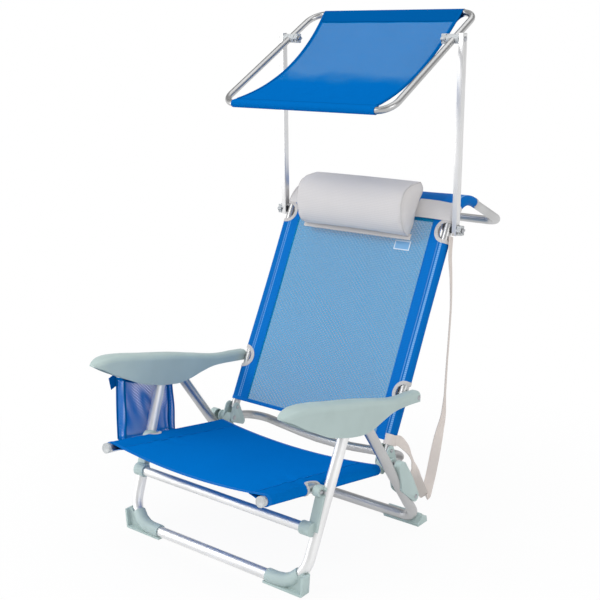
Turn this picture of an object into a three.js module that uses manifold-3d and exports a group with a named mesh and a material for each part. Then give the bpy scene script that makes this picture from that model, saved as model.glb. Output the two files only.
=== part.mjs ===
// Low folding beach chair with a tilting sun canopy, in millimetres, +Z up.
// The sitter faces -Y and +X is to the right of somebody looking at the front.
import * as THREE from 'three';
import { mergeVertices } from 'three/addons/utils/BufferGeometryUtils.js';
import Module from 'manifold-3d';

const wasm = await Module();
wasm.setup();

// Driving dimensions: tubes
const LEG_TUBE = 25;
const RAIL_TUBE = 22;
const STRETCHER_TUBE = 22;
const CANOPY_TUBE = 16;
const TUBE_WALL = 1.2;

// Driving dimensions: folding linkage, seen from the side as (y, z)
const PIVOT_A = { y: -299, z: 217 };
const PIVOT_D = { y: -22, z: 188 };
const ARM_LINK = { y: 78, z: 145 };
const FRONT_BAR_Y = -359;
const FRONT_LEG_LEAN = 0.396;
const REAR_BAR_Y = 71;
const REAR_LEG_LEAN = 0.735;
const REAR_LEG_TOP_Z = 344;
const FRONT_LEG_TOP_REACH = 13;
const STRETCHER = { y: -330, z: 141 };
const SEAT_PITCH = 0.168;
const SEAT_FRONT_Y = -452;
const SEAT_REAR_Y = -46;

// Driving dimensions: half-widths across the chair, the others as reaches beyond the rails
const RAIL_HALF = 240;
const SEAT_FRONT_TAPER = 10;
const FRONT_LEG_REACH = 39;
const FRONT_LEG_TOE_IN = 20;
const REAR_LEG_REACH = 41;
const POST_LOW_REACH = 22;
const POST_HIGH_REACH = 25;
const CANOPY_REACH = 2;
const SEAT_HALF_FRONT = RAIL_HALF - SEAT_FRONT_TAPER;
const FRONT_LEG_HALF_TOP = RAIL_HALF + FRONT_LEG_REACH;
const FRONT_LEG_HALF_FLOOR = FRONT_LEG_HALF_TOP - FRONT_LEG_TOE_IN;
const REAR_LEG_HALF = RAIL_HALF + REAR_LEG_REACH;
const POST_HALF_LOW = RAIL_HALF + POST_LOW_REACH;
const POST_HALF_HIGH = RAIL_HALF + POST_HIGH_REACH;
const CANOPY_HALF = RAIL_HALF + CANOPY_REACH;

// Driving dimensions: bends
const FRONT_LEG_BEND = 70;
const REAR_LEG_BEND = 48;
const BACK_TOP_BEND = 85;
const TOWEL_BAR_BEND = 40;
const BOW_BEND = 50;
const CANOPY_BEND = 40;

// A place on the middle line of the canopy's side, at a distance behind its pivot
function alongCanopy(distance) {
  return {
    y: POST_TOP.y + distance * Math.cos(CANOPY_SLOPE),
    z: POST_TOP.z + distance * Math.sin(CANOPY_SLOPE),
  };
}

// Driving dimensions: backrest head, towel bar and canopy
const BACK_LEAN = 0.502;
const BACK_AXIS_OFFSET = 2.5;
const BACK_HEAD_Z = 787;
const TOWEL_BAR = { y: 521, z: 681 };
const BACK_RAIL_END_Z = 207;
const POST_PIVOT = { y: 243, z: 702 };
const POST_TOP = { y: 239, z: 1149 };
const POST_SECTION = { x: 12, y: 17 };
const POST_END_REACH = 13;
const CANOPY_SLOPE = 0.514;
const CANOPY_AHEAD = 305.4;
const CANOPY_BEHIND = 121.8;
const CANOPY_FRONT = alongCanopy(-CANOPY_AHEAD);
const CANOPY_REAR = alongCanopy(CANOPY_BEHIND);

// Driving dimensions: fits and small parts
const GAP = 0.3;
const PIN = 7;
const PIN_PLAY = 0.3;
const RIVET = 5;
const HEAD_HEIGHT = 2.4;
const HEAD_REACH = 2.6;
const CLOTH = 1.4;
const MOULD_WALL = 2.6;
const CHEEK = 3;
const LEAF = 3.6;

// Sides of round sections
const TUBE_SIDES = 12;
const BORE_SIDES = 6;
const PIN_SIDES = 8;
const BEND_STEP = Math.PI / 10;

// Materials
function finish(colour, roughness, metalness) {
  return new THREE.MeshStandardMaterial({ color: colour, roughness, metalness });
}
const aluminium = finish('#c9cbd0', 0.32, 0.9);
const seafoam = finish('#aebfbd', 0.55, 0);
const blueMesh = finish('#0f62c4', 0.8, 0);
const greyCloth = finish('#c7c5ca', 0.9, 0);
const clearGrey = finish('#c4c9cc', 0.3, 0);
const steel = finish('#a9adb3', 0.35, 0.9);

const vec = (x, y, z) => new THREE.Vector3(x, y, z);

// A closed geometry as a solid for cutting and joining
function solid(geometry) {
  const bare = geometry.clone();
  bare.deleteAttribute('normal');
  bare.deleteAttribute('uv');
  const merged = mergeVertices(bare, 1e-4);
  const vertProperties = new Float32Array(merged.attributes.position.array);
  const triVerts = new Uint32Array(merged.index.array);
  return new wasm.Manifold(new wasm.Mesh({ numProp: 3, vertProperties, triVerts }));
}

// A solid back as an indexed geometry
function geometryOf(body) {
  const mesh = body.getMesh();
  const geometry = new THREE.BufferGeometry();
  geometry.setAttribute('position', new THREE.BufferAttribute(mesh.vertProperties, 3));
  geometry.setIndex(new THREE.BufferAttribute(mesh.triVerts, 1));
  geometry.computeVertexNormals();
  return geometry;
}

function cut(geometry, ...tools) {
  return geometryOf(tools.reduce((body, tool) => body.subtract(solid(tool)), solid(geometry)));
}

function join(geometry, ...others) {
  return geometryOf(others.reduce((body, other) => body.add(solid(other)), solid(geometry)));
}

// The mirror image across the middle plane of the chair
function mirrored(geometry) {
  const source = geometry.index ? geometry.clone() : mergeVertices(geometry);
  const position = source.attributes.position;
  for (let i = 0; i < position.count; i += 1) {
    position.setX(i, -position.getX(i));
  }
  const index = source.index;
  for (let i = 0; i < index.count; i += 3) {
    const second = index.getX(i + 1);
    index.setX(i + 1, index.getX(i + 2));
    index.setX(i + 2, second);
  }
  source.computeVertexNormals();
  return source;
}

// A polyline whose points are the very places where an extrusion puts its sections
class StationPath extends THREE.Curve {
  constructor(points) {
    super();
    this.points = points;
  }

  get steps() {
    return this.points.length - 1;
  }

  getUtoTmapping(u) {
    return u;
  }

  getPoint(t, target = new THREE.Vector3()) {
    const place = t * this.steps;
    const i = Math.min(Math.floor(place), this.steps - 1);
    return target.lerpVectors(this.points[i], this.points[i + 1], place - i);
  }

  getTangent(t, target = new THREE.Vector3()) {
    const i = Math.round(t * this.steps);
    const before = this.points[Math.max(i - 1, 0)];
    const here = this.points[i];
    const after = this.points[Math.min(i + 1, this.steps)];
    target.set(0, 0, 0);
    if (i > 0) {
      target.add(here.clone().sub(before).normalize());
    }
    if (i < this.steps) {
      target.add(after.clone().sub(here).normalize());
    }
    return target.normalize();
  }
}

// Points along straight runs joined by round bends; a corner is [point, bend radius]
function bentRoute(start, corners, end) {
  const points = [start];
  corners.forEach(([corner, radius], i) => {
    const previous = i === 0 ? start : corners[i - 1][0];
    const next = i === corners.length - 1 ? end : corners[i + 1][0];
    const inward = corner.clone().sub(previous).normalize();
    const outward = next.clone().sub(corner).normalize();
    const turn = inward.angleTo(outward);
    const tangent = radius * Math.tan(turn / 2);
    const first = corner.clone().addScaledVector(inward, -tangent);
    const toCentre = outward.clone().addScaledVector(inward, -Math.cos(turn)).normalize();
    const steps = Math.max(2, Math.ceil(turn / BEND_STEP));
    for (let s = 0; s <= steps; s += 1) {
      const angle = (turn * s) / steps;
      const point = first.clone().addScaledVector(inward, radius * Math.sin(angle));
      points.push(point.addScaledVector(toCentre, radius * (1 - Math.cos(angle))));
    }
  });
  points.push(end);
  return points;
}

// Shape outlines with a chosen number of sides for the round ones
function polygonRing(outer, bore, sides, boreSides) {
  const circle = (diameter, count) => Array.from({ length: count }, (_, i) => {
    const angle = (2 * Math.PI * i) / count;
    return new THREE.Vector2(Math.cos(angle), Math.sin(angle)).multiplyScalar(diameter / 2);
  });
  const shape = new THREE.Shape(circle(outer, sides));
  if (bore > 0) {
    shape.holes.push(new THREE.Path(circle(bore, boreSides).reverse()));
  }
  return shape;
}

// A tube along station points; wall 0 makes a solid bar
function tube(points, diameter, wall, sides = TUBE_SIDES, boreSides = BORE_SIDES) {
  const path = new StationPath(points);
  const bore = wall > 0 ? diameter - 2 * wall : 0;
  const section = polygonRing(diameter, bore, sides, boreSides);
  return new THREE.ExtrudeGeometry(section, {
    steps: path.steps, bevelEnabled: false, extrudePath: path, curveSegments: 1,
  });
}

// A round bar or ring lying across the chair, from x0 to x1 at (y, z)
function across(diameter, x0, x1, place, sides = PIN_SIDES, bore = 0) {
  const wall = bore > 0 ? (diameter - bore) / 2 : 0;
  const from = Math.min(x0, x1);
  const to = Math.max(x0, x1);
  const section = polygonRing(diameter, wall > 0 ? bore : 0, sides, sides);
  const geometry = new THREE.ExtrudeGeometry(section, { depth: to - from, bevelEnabled: false });
  return geometry.applyMatrix4(SIDE_VIEW).translate(from, place.y, place.z);
}

// Turns a flat outline drawn as (y, z) and pushed along its own z into chair space
const SIDE_VIEW = new THREE.Matrix4().set(
  0, 0, 1, 0,
  1, 0, 0, 0,
  0, 1, 0, 0,
  0, 0, 0, 1,
);

// Turns a flat outline drawn as (x, z) and pushed along its own z towards -Y
const FRONT_VIEW = new THREE.Matrix4().set(
  1, 0, 0, 0,
  0, 0, -1, 0,
  0, 1, 0, 0,
  0, 0, 0, 1,
);

// A drill that goes right through whatever stands on the right side of the chair
const DRILL_FROM = RAIL_HALF - 60;
const DRILL_TO = RAIL_HALF + 90;
function drill(diameter, place) {
  return across(diameter, DRILL_FROM, DRILL_TO, place);
}

// A side-view outline pushed across the chair from x0 to x1
function sidePlate(shape, x0, x1, sides = 3) {
  const geometry = new THREE.ExtrudeGeometry(shape, {
    depth: x1 - x0, bevelEnabled: false, curveSegments: sides,
  });
  return geometry.applyMatrix4(SIDE_VIEW).translate(x0, 0, 0);
}

// A front-view outline pushed along the chair from y0 to y1
function frontPlate(shape, y0, y1, sides = 3) {
  const geometry = new THREE.ExtrudeGeometry(shape, {
    depth: y1 - y0, bevelEnabled: false, curveSegments: sides,
  });
  return geometry.applyMatrix4(FRONT_VIEW).translate(0, y1, 0);
}

// The outline that wraps a set of circles given as [y, z, radius], as a belt wraps pulleys
function beltOutline(circles, sides = 16) {
  const points = circles.flatMap(([y, z, radius]) => Array.from({ length: sides }, (_, i) => {
    const angle = (2 * Math.PI * i) / sides;
    return new THREE.Vector2(y + radius * Math.cos(angle), z + radius * Math.sin(angle));
  }));
  points.sort((a, b) => a.x - b.x || a.y - b.y);
  const turn = (o, a, b) => (a.x - o.x) * (b.y - o.y) - (a.y - o.y) * (b.x - o.x);
  const chain = (list) => list.reduce((hull, point) => {
    while (hull.length > 1 && turn(hull[hull.length - 2], hull[hull.length - 1], point) < 1e-6) {
      hull.pop();
    }
    hull.push(point);
    return hull;
  }, []);
  const lower = chain(points);
  const upper = chain([...points].reverse());
  return new THREE.Shape([...lower.slice(0, -1), ...upper.slice(0, -1)]);
}

// A closed skin lofted through rings of points, with flat fans at both ends
function loft(rings) {
  const count = rings[0].length;
  const positions = rings.flat().flatMap((point) => [point.x, point.y, point.z]);
  const index = [];
  for (let r = 0; r < rings.length - 1; r += 1) {
    for (let i = 0; i < count; i += 1) {
      const a = r * count + i;
      const b = r * count + ((i + 1) % count);
      index.push(a, b, a + count, b, b + count, a + count);
    }
  }
  const cap = (ringIndex, flip) => {
    const outline = rings[ringIndex];
    const centre = outline.reduce((sum, p) => sum.add(p), vec(0, 0, 0)).divideScalar(count);
    const hub = positions.length / 3;
    positions.push(centre.x, centre.y, centre.z);
    for (let i = 0; i < count; i += 1) {
      const a = ringIndex * count + i;
      const b = ringIndex * count + ((i + 1) % count);
      index.push(hub, flip ? a : b, flip ? b : a);
    }
  };
  cap(0, false);
  cap(rings.length - 1, true);
  const geometry = new THREE.BufferGeometry();
  geometry.setAttribute('position', new THREE.Float32BufferAttribute(positions, 3));
  geometry.setIndex(index);
  geometry.computeVertexNormals();
  return outwards(geometry);
}

// Faces turned so that the enclosed volume counts as positive
function outwards(geometry) {
  const position = geometry.attributes.position;
  const index = geometry.index;
  const corner = (i) => new THREE.Vector3().fromBufferAttribute(position, index.getX(i));
  let volume = 0;
  for (let i = 0; i < index.count; i += 3) {
    volume += corner(i).dot(corner(i + 1).cross(corner(i + 2)));
  }
  if (volume < 0) {
    for (let i = 0; i < index.count; i += 3) {
      const second = index.getX(i + 1);
      index.setX(i + 1, index.getX(i + 2));
      index.setX(i + 2, second);
    }
    geometry.computeVertexNormals();
  }
  return geometry;
}

// A sheet of even thickness from a grid of middle-surface points, closed round its rim
function sheet(grid, thickness) {
  const rows = grid.length;
  const columns = grid[0].length;
  const clamp = (value, top) => Math.min(Math.max(value, 0), top);
  const normalAt = (r, c) => {
    const along = grid[clamp(r + 1, rows - 1)][c].clone().sub(grid[clamp(r - 1, rows - 1)][c]);
    const side = grid[r][clamp(c + 1, columns - 1)].clone().sub(grid[r][clamp(c - 1, columns - 1)]);
    return side.cross(along).normalize();
  };
  const face = (offset) => grid.map((row, r) => row.map((point, c) => (
    point.clone().addScaledVector(normalAt(r, c), offset))));
  const top = face(thickness / 2);
  const bottom = face(-thickness / 2);
  const rings = top.map((row, r) => [...row, ...[...bottom[r]].reverse()]);
  const positions = rings.flat().flatMap((point) => [point.x, point.y, point.z]);
  const count = 2 * columns;
  const index = [];
  for (let r = 0; r < rows - 1; r += 1) {
    for (let i = 0; i < count; i += 1) {
      const a = r * count + i;
      const b = r * count + ((i + 1) % count);
      index.push(a, b, a + count, b, b + count, a + count);
    }
  }
  for (let c = 0; c < columns - 1; c += 1) {
    const near = [c, c + 1, count - 1 - c, count - 2 - c];
    index.push(near[0], near[2], near[1], near[1], near[2], near[3]);
    const far = near.map((i) => i + (rows - 1) * count);
    index.push(far[0], far[1], far[2], far[1], far[3], far[2]);
  }
  const geometry = new THREE.BufferGeometry();
  geometry.setAttribute('position', new THREE.Float32BufferAttribute(positions, 3));
  geometry.setIndex(index);
  geometry.computeVertexNormals();
  return outwards(geometry);
}

// Values between listed stations, eased so that slopes run on smoothly
function profile(stations) {
  return (s) => {
    const last = stations.length - 1;
    if (s <= stations[0][0]) {
      return stations[0][1];
    }
    if (s >= stations[last][0]) {
      return stations[last][1];
    }
    const i = stations.findIndex((station) => station[0] > s) - 1;
    const slope = (a, b) => (stations[b][1] - stations[a][1]) / (stations[b][0] - stations[a][0]);
    const width = stations[i + 1][0] - stations[i][0];
    const startSlope = slope(Math.max(i - 1, 0), i + 1);
    const endSlope = slope(i, Math.min(i + 2, last));
    const t = (s - stations[i][0]) / width;
    const a = stations[i][1] * (1 + 2 * t) * (1 - t) * (1 - t);
    const b = stations[i + 1][1] * t * t * (3 - 2 * t);
    const c = startSlope * width * t * (1 - t) * (1 - t);
    const d = endSlope * width * t * t * (t - 1);
    return a + b + c + d;
  };
}

// Places that follow from the driving dimensions
const legRadius = LEG_TUBE / 2;
const railRadius = RAIL_TUBE / 2;
const PIVOT_B = { y: PIVOT_A.y + ARM_LINK.y, z: PIVOT_A.z + ARM_LINK.z };
const PIVOT_C = { y: PIVOT_D.y + ARM_LINK.y, z: PIVOT_D.z + ARM_LINK.z };
const LEG_FLOOR_LIFT = 3;
const barHeight = legRadius + LEG_FLOOR_LIFT;
const FRONT_BAR = { y: FRONT_BAR_Y, z: barHeight };
const REAR_BAR = { y: REAR_BAR_Y, z: barHeight };
const frontLegTopZ = PIVOT_B.z + FRONT_LEG_TOP_REACH;

const pinHole = PIN + 2 * PIN_PLAY;

function frontLegAt(z) {
  const share = (z - FRONT_BAR.z) / (PIVOT_B.z - FRONT_BAR.z);
  const x = FRONT_LEG_HALF_FLOOR + (FRONT_LEG_HALF_TOP - FRONT_LEG_HALF_FLOOR) * share;
  return vec(x, FRONT_BAR.y + FRONT_LEG_LEAN * (z - FRONT_BAR.z), z);
}

function rearLegAt(z) {
  return vec(REAR_LEG_HALF, REAR_BAR.y - REAR_LEG_LEAN * (z - REAR_BAR.z), z);
}

function seatRailAt(y) {
  const share = (y - SEAT_FRONT_Y) / (SEAT_REAR_Y - SEAT_FRONT_Y);
  const x = SEAT_HALF_FRONT + (RAIL_HALF - SEAT_HALF_FRONT) * share;
  return vec(x, y, PIVOT_A.z - SEAT_PITCH * (y - PIVOT_A.y));
}

function backRailAt(z) {
  return vec(RAIL_HALF, PIVOT_C.y + BACK_AXIS_OFFSET + BACK_LEAN * (z - PIVOT_C.z), z);
}

// Two-sided route: the right half in order, then the same corners on the left
function bothSides(start, corners) {
  const flip = (point) => vec(-point.x, point.y, point.z);
  const left = [...corners].reverse().map(([point, radius]) => [flip(point), radius]);
  return bentRoute(start, [...corners, ...left], flip(start));
}

// A pin across the chair between two faces, with a round head beyond each
function rivet(diameter, x0, x1, place) {
  const shank = across(diameter, x0 - GAP, x1 + GAP, place);
  const headSize = diameter + 2 * HEAD_REACH;
  const near = across(headSize, x0 - GAP - HEAD_HEIGHT, x0 - GAP, place);
  const far = across(headSize, x1 + GAP, x1 + GAP + HEAD_HEIGHT, place);
  return join(shank, near, far);
}

const chair = new THREE.Group();

function addBody(parent) {
  const body = new THREE.Group();
  parent.add(body);
  return body;
}

const seat = addBody(chair);
const backrest = addBody(seat);
const frontLegs = addBody(seat);
const rearLegs = addBody(seat);
const armRight = addBody(backrest);
const armLeft = addBody(backrest);
const posts = addBody(backrest);
const canopy = addBody(posts);

function addPiece(body, name, geometry, material) {
  const mesh = new THREE.Mesh(geometry, material);
  mesh.name = name;
  body.add(mesh);
}

function addPair(body, name, geometry, material) {
  addPiece(body, `${name}_right`, geometry, material);
  addPiece(body, `${name}_left`, mirrored(geometry), material);
}

// Front legs: one U of tube, two elbow feet, a stretcher and its two brackets
const frontLegRoute = bothSides(frontLegAt(frontLegTopZ), [
  [frontLegAt(FRONT_BAR.z), FRONT_LEG_BEND],
]);
const frontLegTube = tube(frontLegRoute, LEG_TUBE, TUBE_WALL);
const frontLegEnvelope = tube(frontLegRoute, LEG_TUBE + 2 * GAP, 0);
const legPinHoleB = across(pinHole, RAIL_HALF, FRONT_LEG_HALF_TOP + LEG_TUBE, PIVOT_B);
const legPinHoles = [legPinHoleB, mirrored(legPinHoleB)];
addPiece(frontLegs, 'front_leg_frame', cut(frontLegTube, ...legPinHoles), aluminium);

const STRETCHER_HALF = RAIL_HALF + 14;
const SLEEVE_WALL = 4;
const SLEEVE_INNER_X = RAIL_HALF - 2;
const sleeveDiameter = STRETCHER_TUBE + 2 * (SLEEVE_WALL + GAP);
const stretcherEnds = [
  vec(-STRETCHER_HALF, STRETCHER.y, STRETCHER.z),
  vec(STRETCHER_HALF, STRETCHER.y, STRETCHER.z),
];
addPiece(frontLegs, 'front_stretcher', tube(stretcherEnds, STRETCHER_TUBE, TUBE_WALL), aluminium);

const BRACKET_BOSS_RADIUS = 12;
const BRACKET_INNER_X = RAIL_HALF + 9.5;
const BRACKET_FACE_X = BRACKET_INNER_X + 16.5;
const BRACKET_OUTER_X = BRACKET_FACE_X + 8;
const legSideAt = (z, lead, radius) => [frontLegAt(z).y - lead, z, radius];
const bracketBoss = sidePlate(beltOutline([
  [PIVOT_A.y, PIVOT_A.z, BRACKET_BOSS_RADIUS],
  legSideAt(PIVOT_A.z, 8, BRACKET_BOSS_RADIUS - 2),
]), BRACKET_INNER_X, BRACKET_FACE_X);
const bracketWeb = sidePlate(beltOutline([
  legSideAt(PIVOT_A.z, 9, 9), legSideAt(STRETCHER.z, 9, 9),
]), BRACKET_INNER_X + 2, BRACKET_OUTER_X);
const bracketFoot = sidePlate(beltOutline([
  [STRETCHER.y, STRETCHER.z, sleeveDiameter / 2],
  legSideAt(STRETCHER.z, 6, 11),
]), BRACKET_INNER_X + 2, BRACKET_FACE_X);
const bracketSleeve = across(sleeveDiameter, SLEEVE_INNER_X, BRACKET_FACE_X, STRETCHER, TUBE_SIDES);
const stretcherRoom = across(STRETCHER_TUBE + 2 * GAP, 0, STRETCHER_HALF + GAP, STRETCHER, TUBE_SIDES);
const bracketRoom = across(pinHole, 0, BRACKET_OUTER_X + LEG_TUBE, PIVOT_A);
const pinHeadRoom = across(PIN + 2 * (HEAD_REACH + 1), BRACKET_FACE_X, BRACKET_OUTER_X + 1, PIVOT_A);
const legBracket = cut(
  join(bracketBoss, bracketWeb, bracketFoot, bracketSleeve),
  frontLegEnvelope, stretcherRoom, bracketRoom, pinHeadRoom,
);
addPair(frontLegs, 'front_leg_bracket', legBracket, seafoam);

// Elbow feet: a sleeve round the bend with a flat sole and an upright outer edge
const FRONT_FOOT_OUT = FRONT_LEG_HALF_FLOOR + 10;
const FRONT_FOOT_IN = FRONT_FOOT_OUT - 109;
const FRONT_FOOT_RISE = 48;
const FRONT_FOOT_HALF = 13;
const FOOT_SLEEVE_WALL = 3;
const bendShare = frontLegRoute.filter((point) => (
  point.x > FRONT_FOOT_IN && point.z < FRONT_FOOT_RISE - 4));
const footSleeveRoute = [
  vec(FRONT_FOOT_IN + 6, FRONT_BAR.y, FRONT_BAR.z),
  ...bendShare.reverse(),
];
const footSleeve = tube(footSleeveRoute, LEG_TUBE + 2 * (GAP + FOOT_SLEEVE_WALL), 0);
const footWebShape = new THREE.Shape();
footWebShape.moveTo(FRONT_FOOT_IN, 0);
footWebShape.lineTo(FRONT_FOOT_OUT - 5, 0);
footWebShape.quadraticCurveTo(FRONT_FOOT_OUT, 0, FRONT_FOOT_OUT, 5);
footWebShape.lineTo(FRONT_FOOT_OUT + 3, FRONT_FOOT_RISE);
footWebShape.lineTo(FRONT_FOOT_OUT - 12, FRONT_FOOT_RISE);
footWebShape.lineTo(FRONT_FOOT_OUT - 45, FRONT_BAR.z);
footWebShape.lineTo(FRONT_FOOT_IN, FRONT_BAR.z);
const soleShape = new THREE.Shape();
soleShape.moveTo(FRONT_FOOT_IN, 0);
soleShape.lineTo(FRONT_FOOT_OUT - 5, 0);
soleShape.quadraticCurveTo(FRONT_FOOT_OUT, 0, FRONT_FOOT_OUT, 5);
soleShape.lineTo(FRONT_FOOT_OUT + 3, FRONT_FOOT_RISE);
soleShape.lineTo(FRONT_FOOT_OUT - 2, FRONT_FOOT_RISE);
soleShape.lineTo(FRONT_FOOT_OUT - 5, 6);
soleShape.lineTo(FRONT_FOOT_IN, 5);
const footMiddle = FRONT_BAR.y;
const footWeb = frontPlate(footWebShape, footMiddle - 4, footMiddle + 4);
const footRim = frontPlate(soleShape, footMiddle - FRONT_FOOT_HALF, footMiddle + FRONT_FOOT_HALF);
const FLOOR_ROOM_DEPTH = 40;
const belowFloor = new THREE.BoxGeometry(2 * FRONT_FOOT_OUT, 4 * FRONT_FOOT_HALF, FLOOR_ROOM_DEPTH)
  .translate(FRONT_FOOT_OUT, footMiddle, -FLOOR_ROOM_DEPTH / 2);
const frontFoot = cut(join(footSleeve, footWeb, footRim), frontLegEnvelope, belowFloor);
addPair(frontLegs, 'front_foot', frontFoot, seafoam);

// Rear legs: one U of tube, two saddle feet, clamp leaves and their rivets
const rearLegRoute = bothSides(rearLegAt(REAR_LEG_TOP_Z), [
  [rearLegAt(REAR_BAR.z), REAR_LEG_BEND],
]);
const rearLegTube = tube(rearLegRoute, LEG_TUBE, TUBE_WALL);
const rearLegEnvelope = tube(rearLegRoute, LEG_TUBE + 2 * GAP, 0);
const LEAF_LOW = { y: 35, z: 93 };
const ratchetPlace = rearLegAt(REAR_LEG_TOP_Z - 14);
const ratchetHole = across(pinHole, RAIL_HALF, REAR_LEG_HALF + LEG_TUBE, ratchetPlace);
const rearLegHoles = [ratchetHole, mirrored(ratchetHole)];
addPiece(rearLegs, 'rear_leg_frame', cut(rearLegTube, ...rearLegHoles), aluminium);

const REAR_FOOT_OUT = REAR_LEG_HALF + 9;
const REAR_FOOT_IN = REAR_FOOT_OUT - 100;
const REAR_FOOT_FRONT = -8;
const REAR_FOOT_BACK = 33;
const rearFootShape = new THREE.Shape();
rearFootShape.moveTo(REAR_FOOT_FRONT, 0);
rearFootShape.lineTo(REAR_FOOT_BACK, 0);
rearFootShape.lineTo(REAR_FOOT_BACK - 2, 12);
rearFootShape.quadraticCurveTo(legRadius + 6, 17, legRadius + 5, 24);
rearFootShape.lineTo(legRadius + 1, 24);
rearFootShape.lineTo(0, barHeight);
rearFootShape.lineTo(REAR_FOOT_FRONT - 3, 8);
const rearFootBlock = sidePlate(rearFootShape, REAR_FOOT_IN, REAR_FOOT_OUT - 6)
  .translate(0, REAR_BAR.y, 0);
const rearFootEndShape = new THREE.Shape();
rearFootEndShape.moveTo(REAR_FOOT_FRONT, 0);
rearFootEndShape.lineTo(REAR_FOOT_BACK, 0);
rearFootEndShape.lineTo(REAR_FOOT_BACK - 3, 15);
rearFootEndShape.lineTo(legRadius, 22);
rearFootEndShape.lineTo(REAR_FOOT_FRONT - 3, 8);
const rearFootEnd = sidePlate(rearFootEndShape, REAR_LEG_HALF - 8, REAR_FOOT_OUT)
  .translate(0, REAR_BAR.y, 0);
addPair(rearLegs, 'rear_foot', cut(join(rearFootBlock, rearFootEnd), rearLegEnvelope), seafoam);

// Clamp leaves: two shells on both faces of the rear leg, from the main hinge axis down
const leafTop = [PIVOT_D.y - 3, PIVOT_D.z - 2, 15];
const leafMiddle = [-3, 140, 24];
const leafFoot = [LEAF_LOW.y, LEAF_LOW.z, 13];
const leafOutline = () => beltOutline([leafTop, leafMiddle, leafFoot]);
const leafInnerX = REAR_LEG_HALF - legRadius - GAP;
const leafOuterX = REAR_LEG_HALF + legRadius + GAP;
const LEAF_SPACER_RADIUS = 12;
const HINGE_OUTER_X = RAIL_HALF + railRadius + GAP + CHEEK;
const dHole = drill(pinHole, PIVOT_D);
const leafRivetRoom = drill(RIVET + 2 * PIN_PLAY, LEAF_LOW);
const leafInnerPlate = sidePlate(leafOutline(), leafInnerX - LEAF, leafInnerX);
const leafSpacer = across(2 * LEAF_SPACER_RADIUS, HINGE_OUTER_X + GAP, leafInnerX - 1, PIVOT_D, TUBE_SIDES);
const leafInner = cut(join(leafInnerPlate, leafSpacer), dHole, leafRivetRoom);
addPair(rearLegs, 'rear_leaf_inner', leafInner, seafoam);

const leafOuterPlate = sidePlate(leafOutline(), leafOuterX, leafOuterX + LEAF);
const LEAF_RIM = 2.4;
const leafRim = sidePlate(leafOutline(), REAR_LEG_HALF, leafOuterX + 1);
const leafRimRoom = sidePlate(beltOutline([
  [leafTop[0], leafTop[1], leafTop[2] - LEAF_RIM],
  [leafMiddle[0], leafMiddle[1], leafMiddle[2] - LEAF_RIM],
  [leafFoot[0], leafFoot[1], leafFoot[2] - LEAF_RIM],
]), REAR_LEG_HALF - 1, leafOuterX);
const leafOuter = cut(join(leafOuterPlate, cut(leafRim, leafRimRoom)), rearLegEnvelope, leafRivetRoom);
addPair(rearLegs, 'rear_leaf_outer', leafOuter, seafoam);

const leafRivet = rivet(RIVET, leafInnerX - LEAF, leafOuterX + LEAF, LEAF_LOW);
addPair(rearLegs, 'leaf_rivet', leafRivet, steel);

// Seat: two rails with front caps, rear eye fittings and the cloth that spans them
const seatFront = seatRailAt(SEAT_FRONT_Y);
const seatRear = seatRailAt(SEAT_REAR_Y);
const seatPinHole = drill(pinHole, PIVOT_A);
const seatRail = cut(tube([seatFront, seatRear], RAIL_TUBE, TUBE_WALL), seatPinHole);
addPair(seat, 'seat_rail', seatRail, aluminium);

// Lathe-turned pieces laid along a direction
function turned(profilePoints, origin, direction, sides = PIN_SIDES) {
  const outline = profilePoints.map(([radius, height]) => new THREE.Vector2(radius, height));
  const geometry = new THREE.LatheGeometry(outline, sides);
  const turn = new THREE.Quaternion().setFromUnitVectors(vec(0, 1, 0), direction);
  return geometryOf(solid(geometry.applyQuaternion(turn).translate(origin.x, origin.y, origin.z)));
}

const CAP_RADIUS = 12;
const CAP_LENGTH = 8;
const PLUG_LENGTH = 12;
const plugRadius = (railRadius - TUBE_WALL) * Math.cos(Math.PI / BORE_SIDES) - GAP;
const railForward = seatFront.clone().sub(seatRear).normalize();
const railCap = turned([
  [0, -PLUG_LENGTH], [plugRadius, -PLUG_LENGTH], [plugRadius, GAP], [CAP_RADIUS, GAP],
  [CAP_RADIUS, CAP_LENGTH - 3], [CAP_RADIUS - 3, CAP_LENGTH], [0, CAP_LENGTH],
], seatFront, railForward);
addPair(seat, 'seat_rail_cap', railCap, clearGrey);

const EYE_RADIUS = 11;
const EYE_HALF = 10.4;
const eyeHeel = seatRailAt(SEAT_REAR_Y + 9);
const eyeBody = sidePlate(beltOutline([
  [eyeHeel.y, eyeHeel.z, railRadius - 1],
  [PIVOT_D.y, PIVOT_D.z, EYE_RADIUS],
]), RAIL_HALF - EYE_HALF, RAIL_HALF + EYE_HALF);
const railEnvelope = tube([seatFront, seatRear.clone().addScaledVector(railForward, -GAP)],
  RAIL_TUBE + 2 * GAP, 0);
const eyePlug = turned([
  [0, -PLUG_LENGTH], [plugRadius, -PLUG_LENGTH], [plugRadius, 4], [0, 4],
], seatRear, railForward.clone().negate());
const railEye = cut(join(cut(eyeBody, railEnvelope), eyePlug), dHole);
addPair(seat, 'seat_rail_eye', railEye, seafoam);

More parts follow.
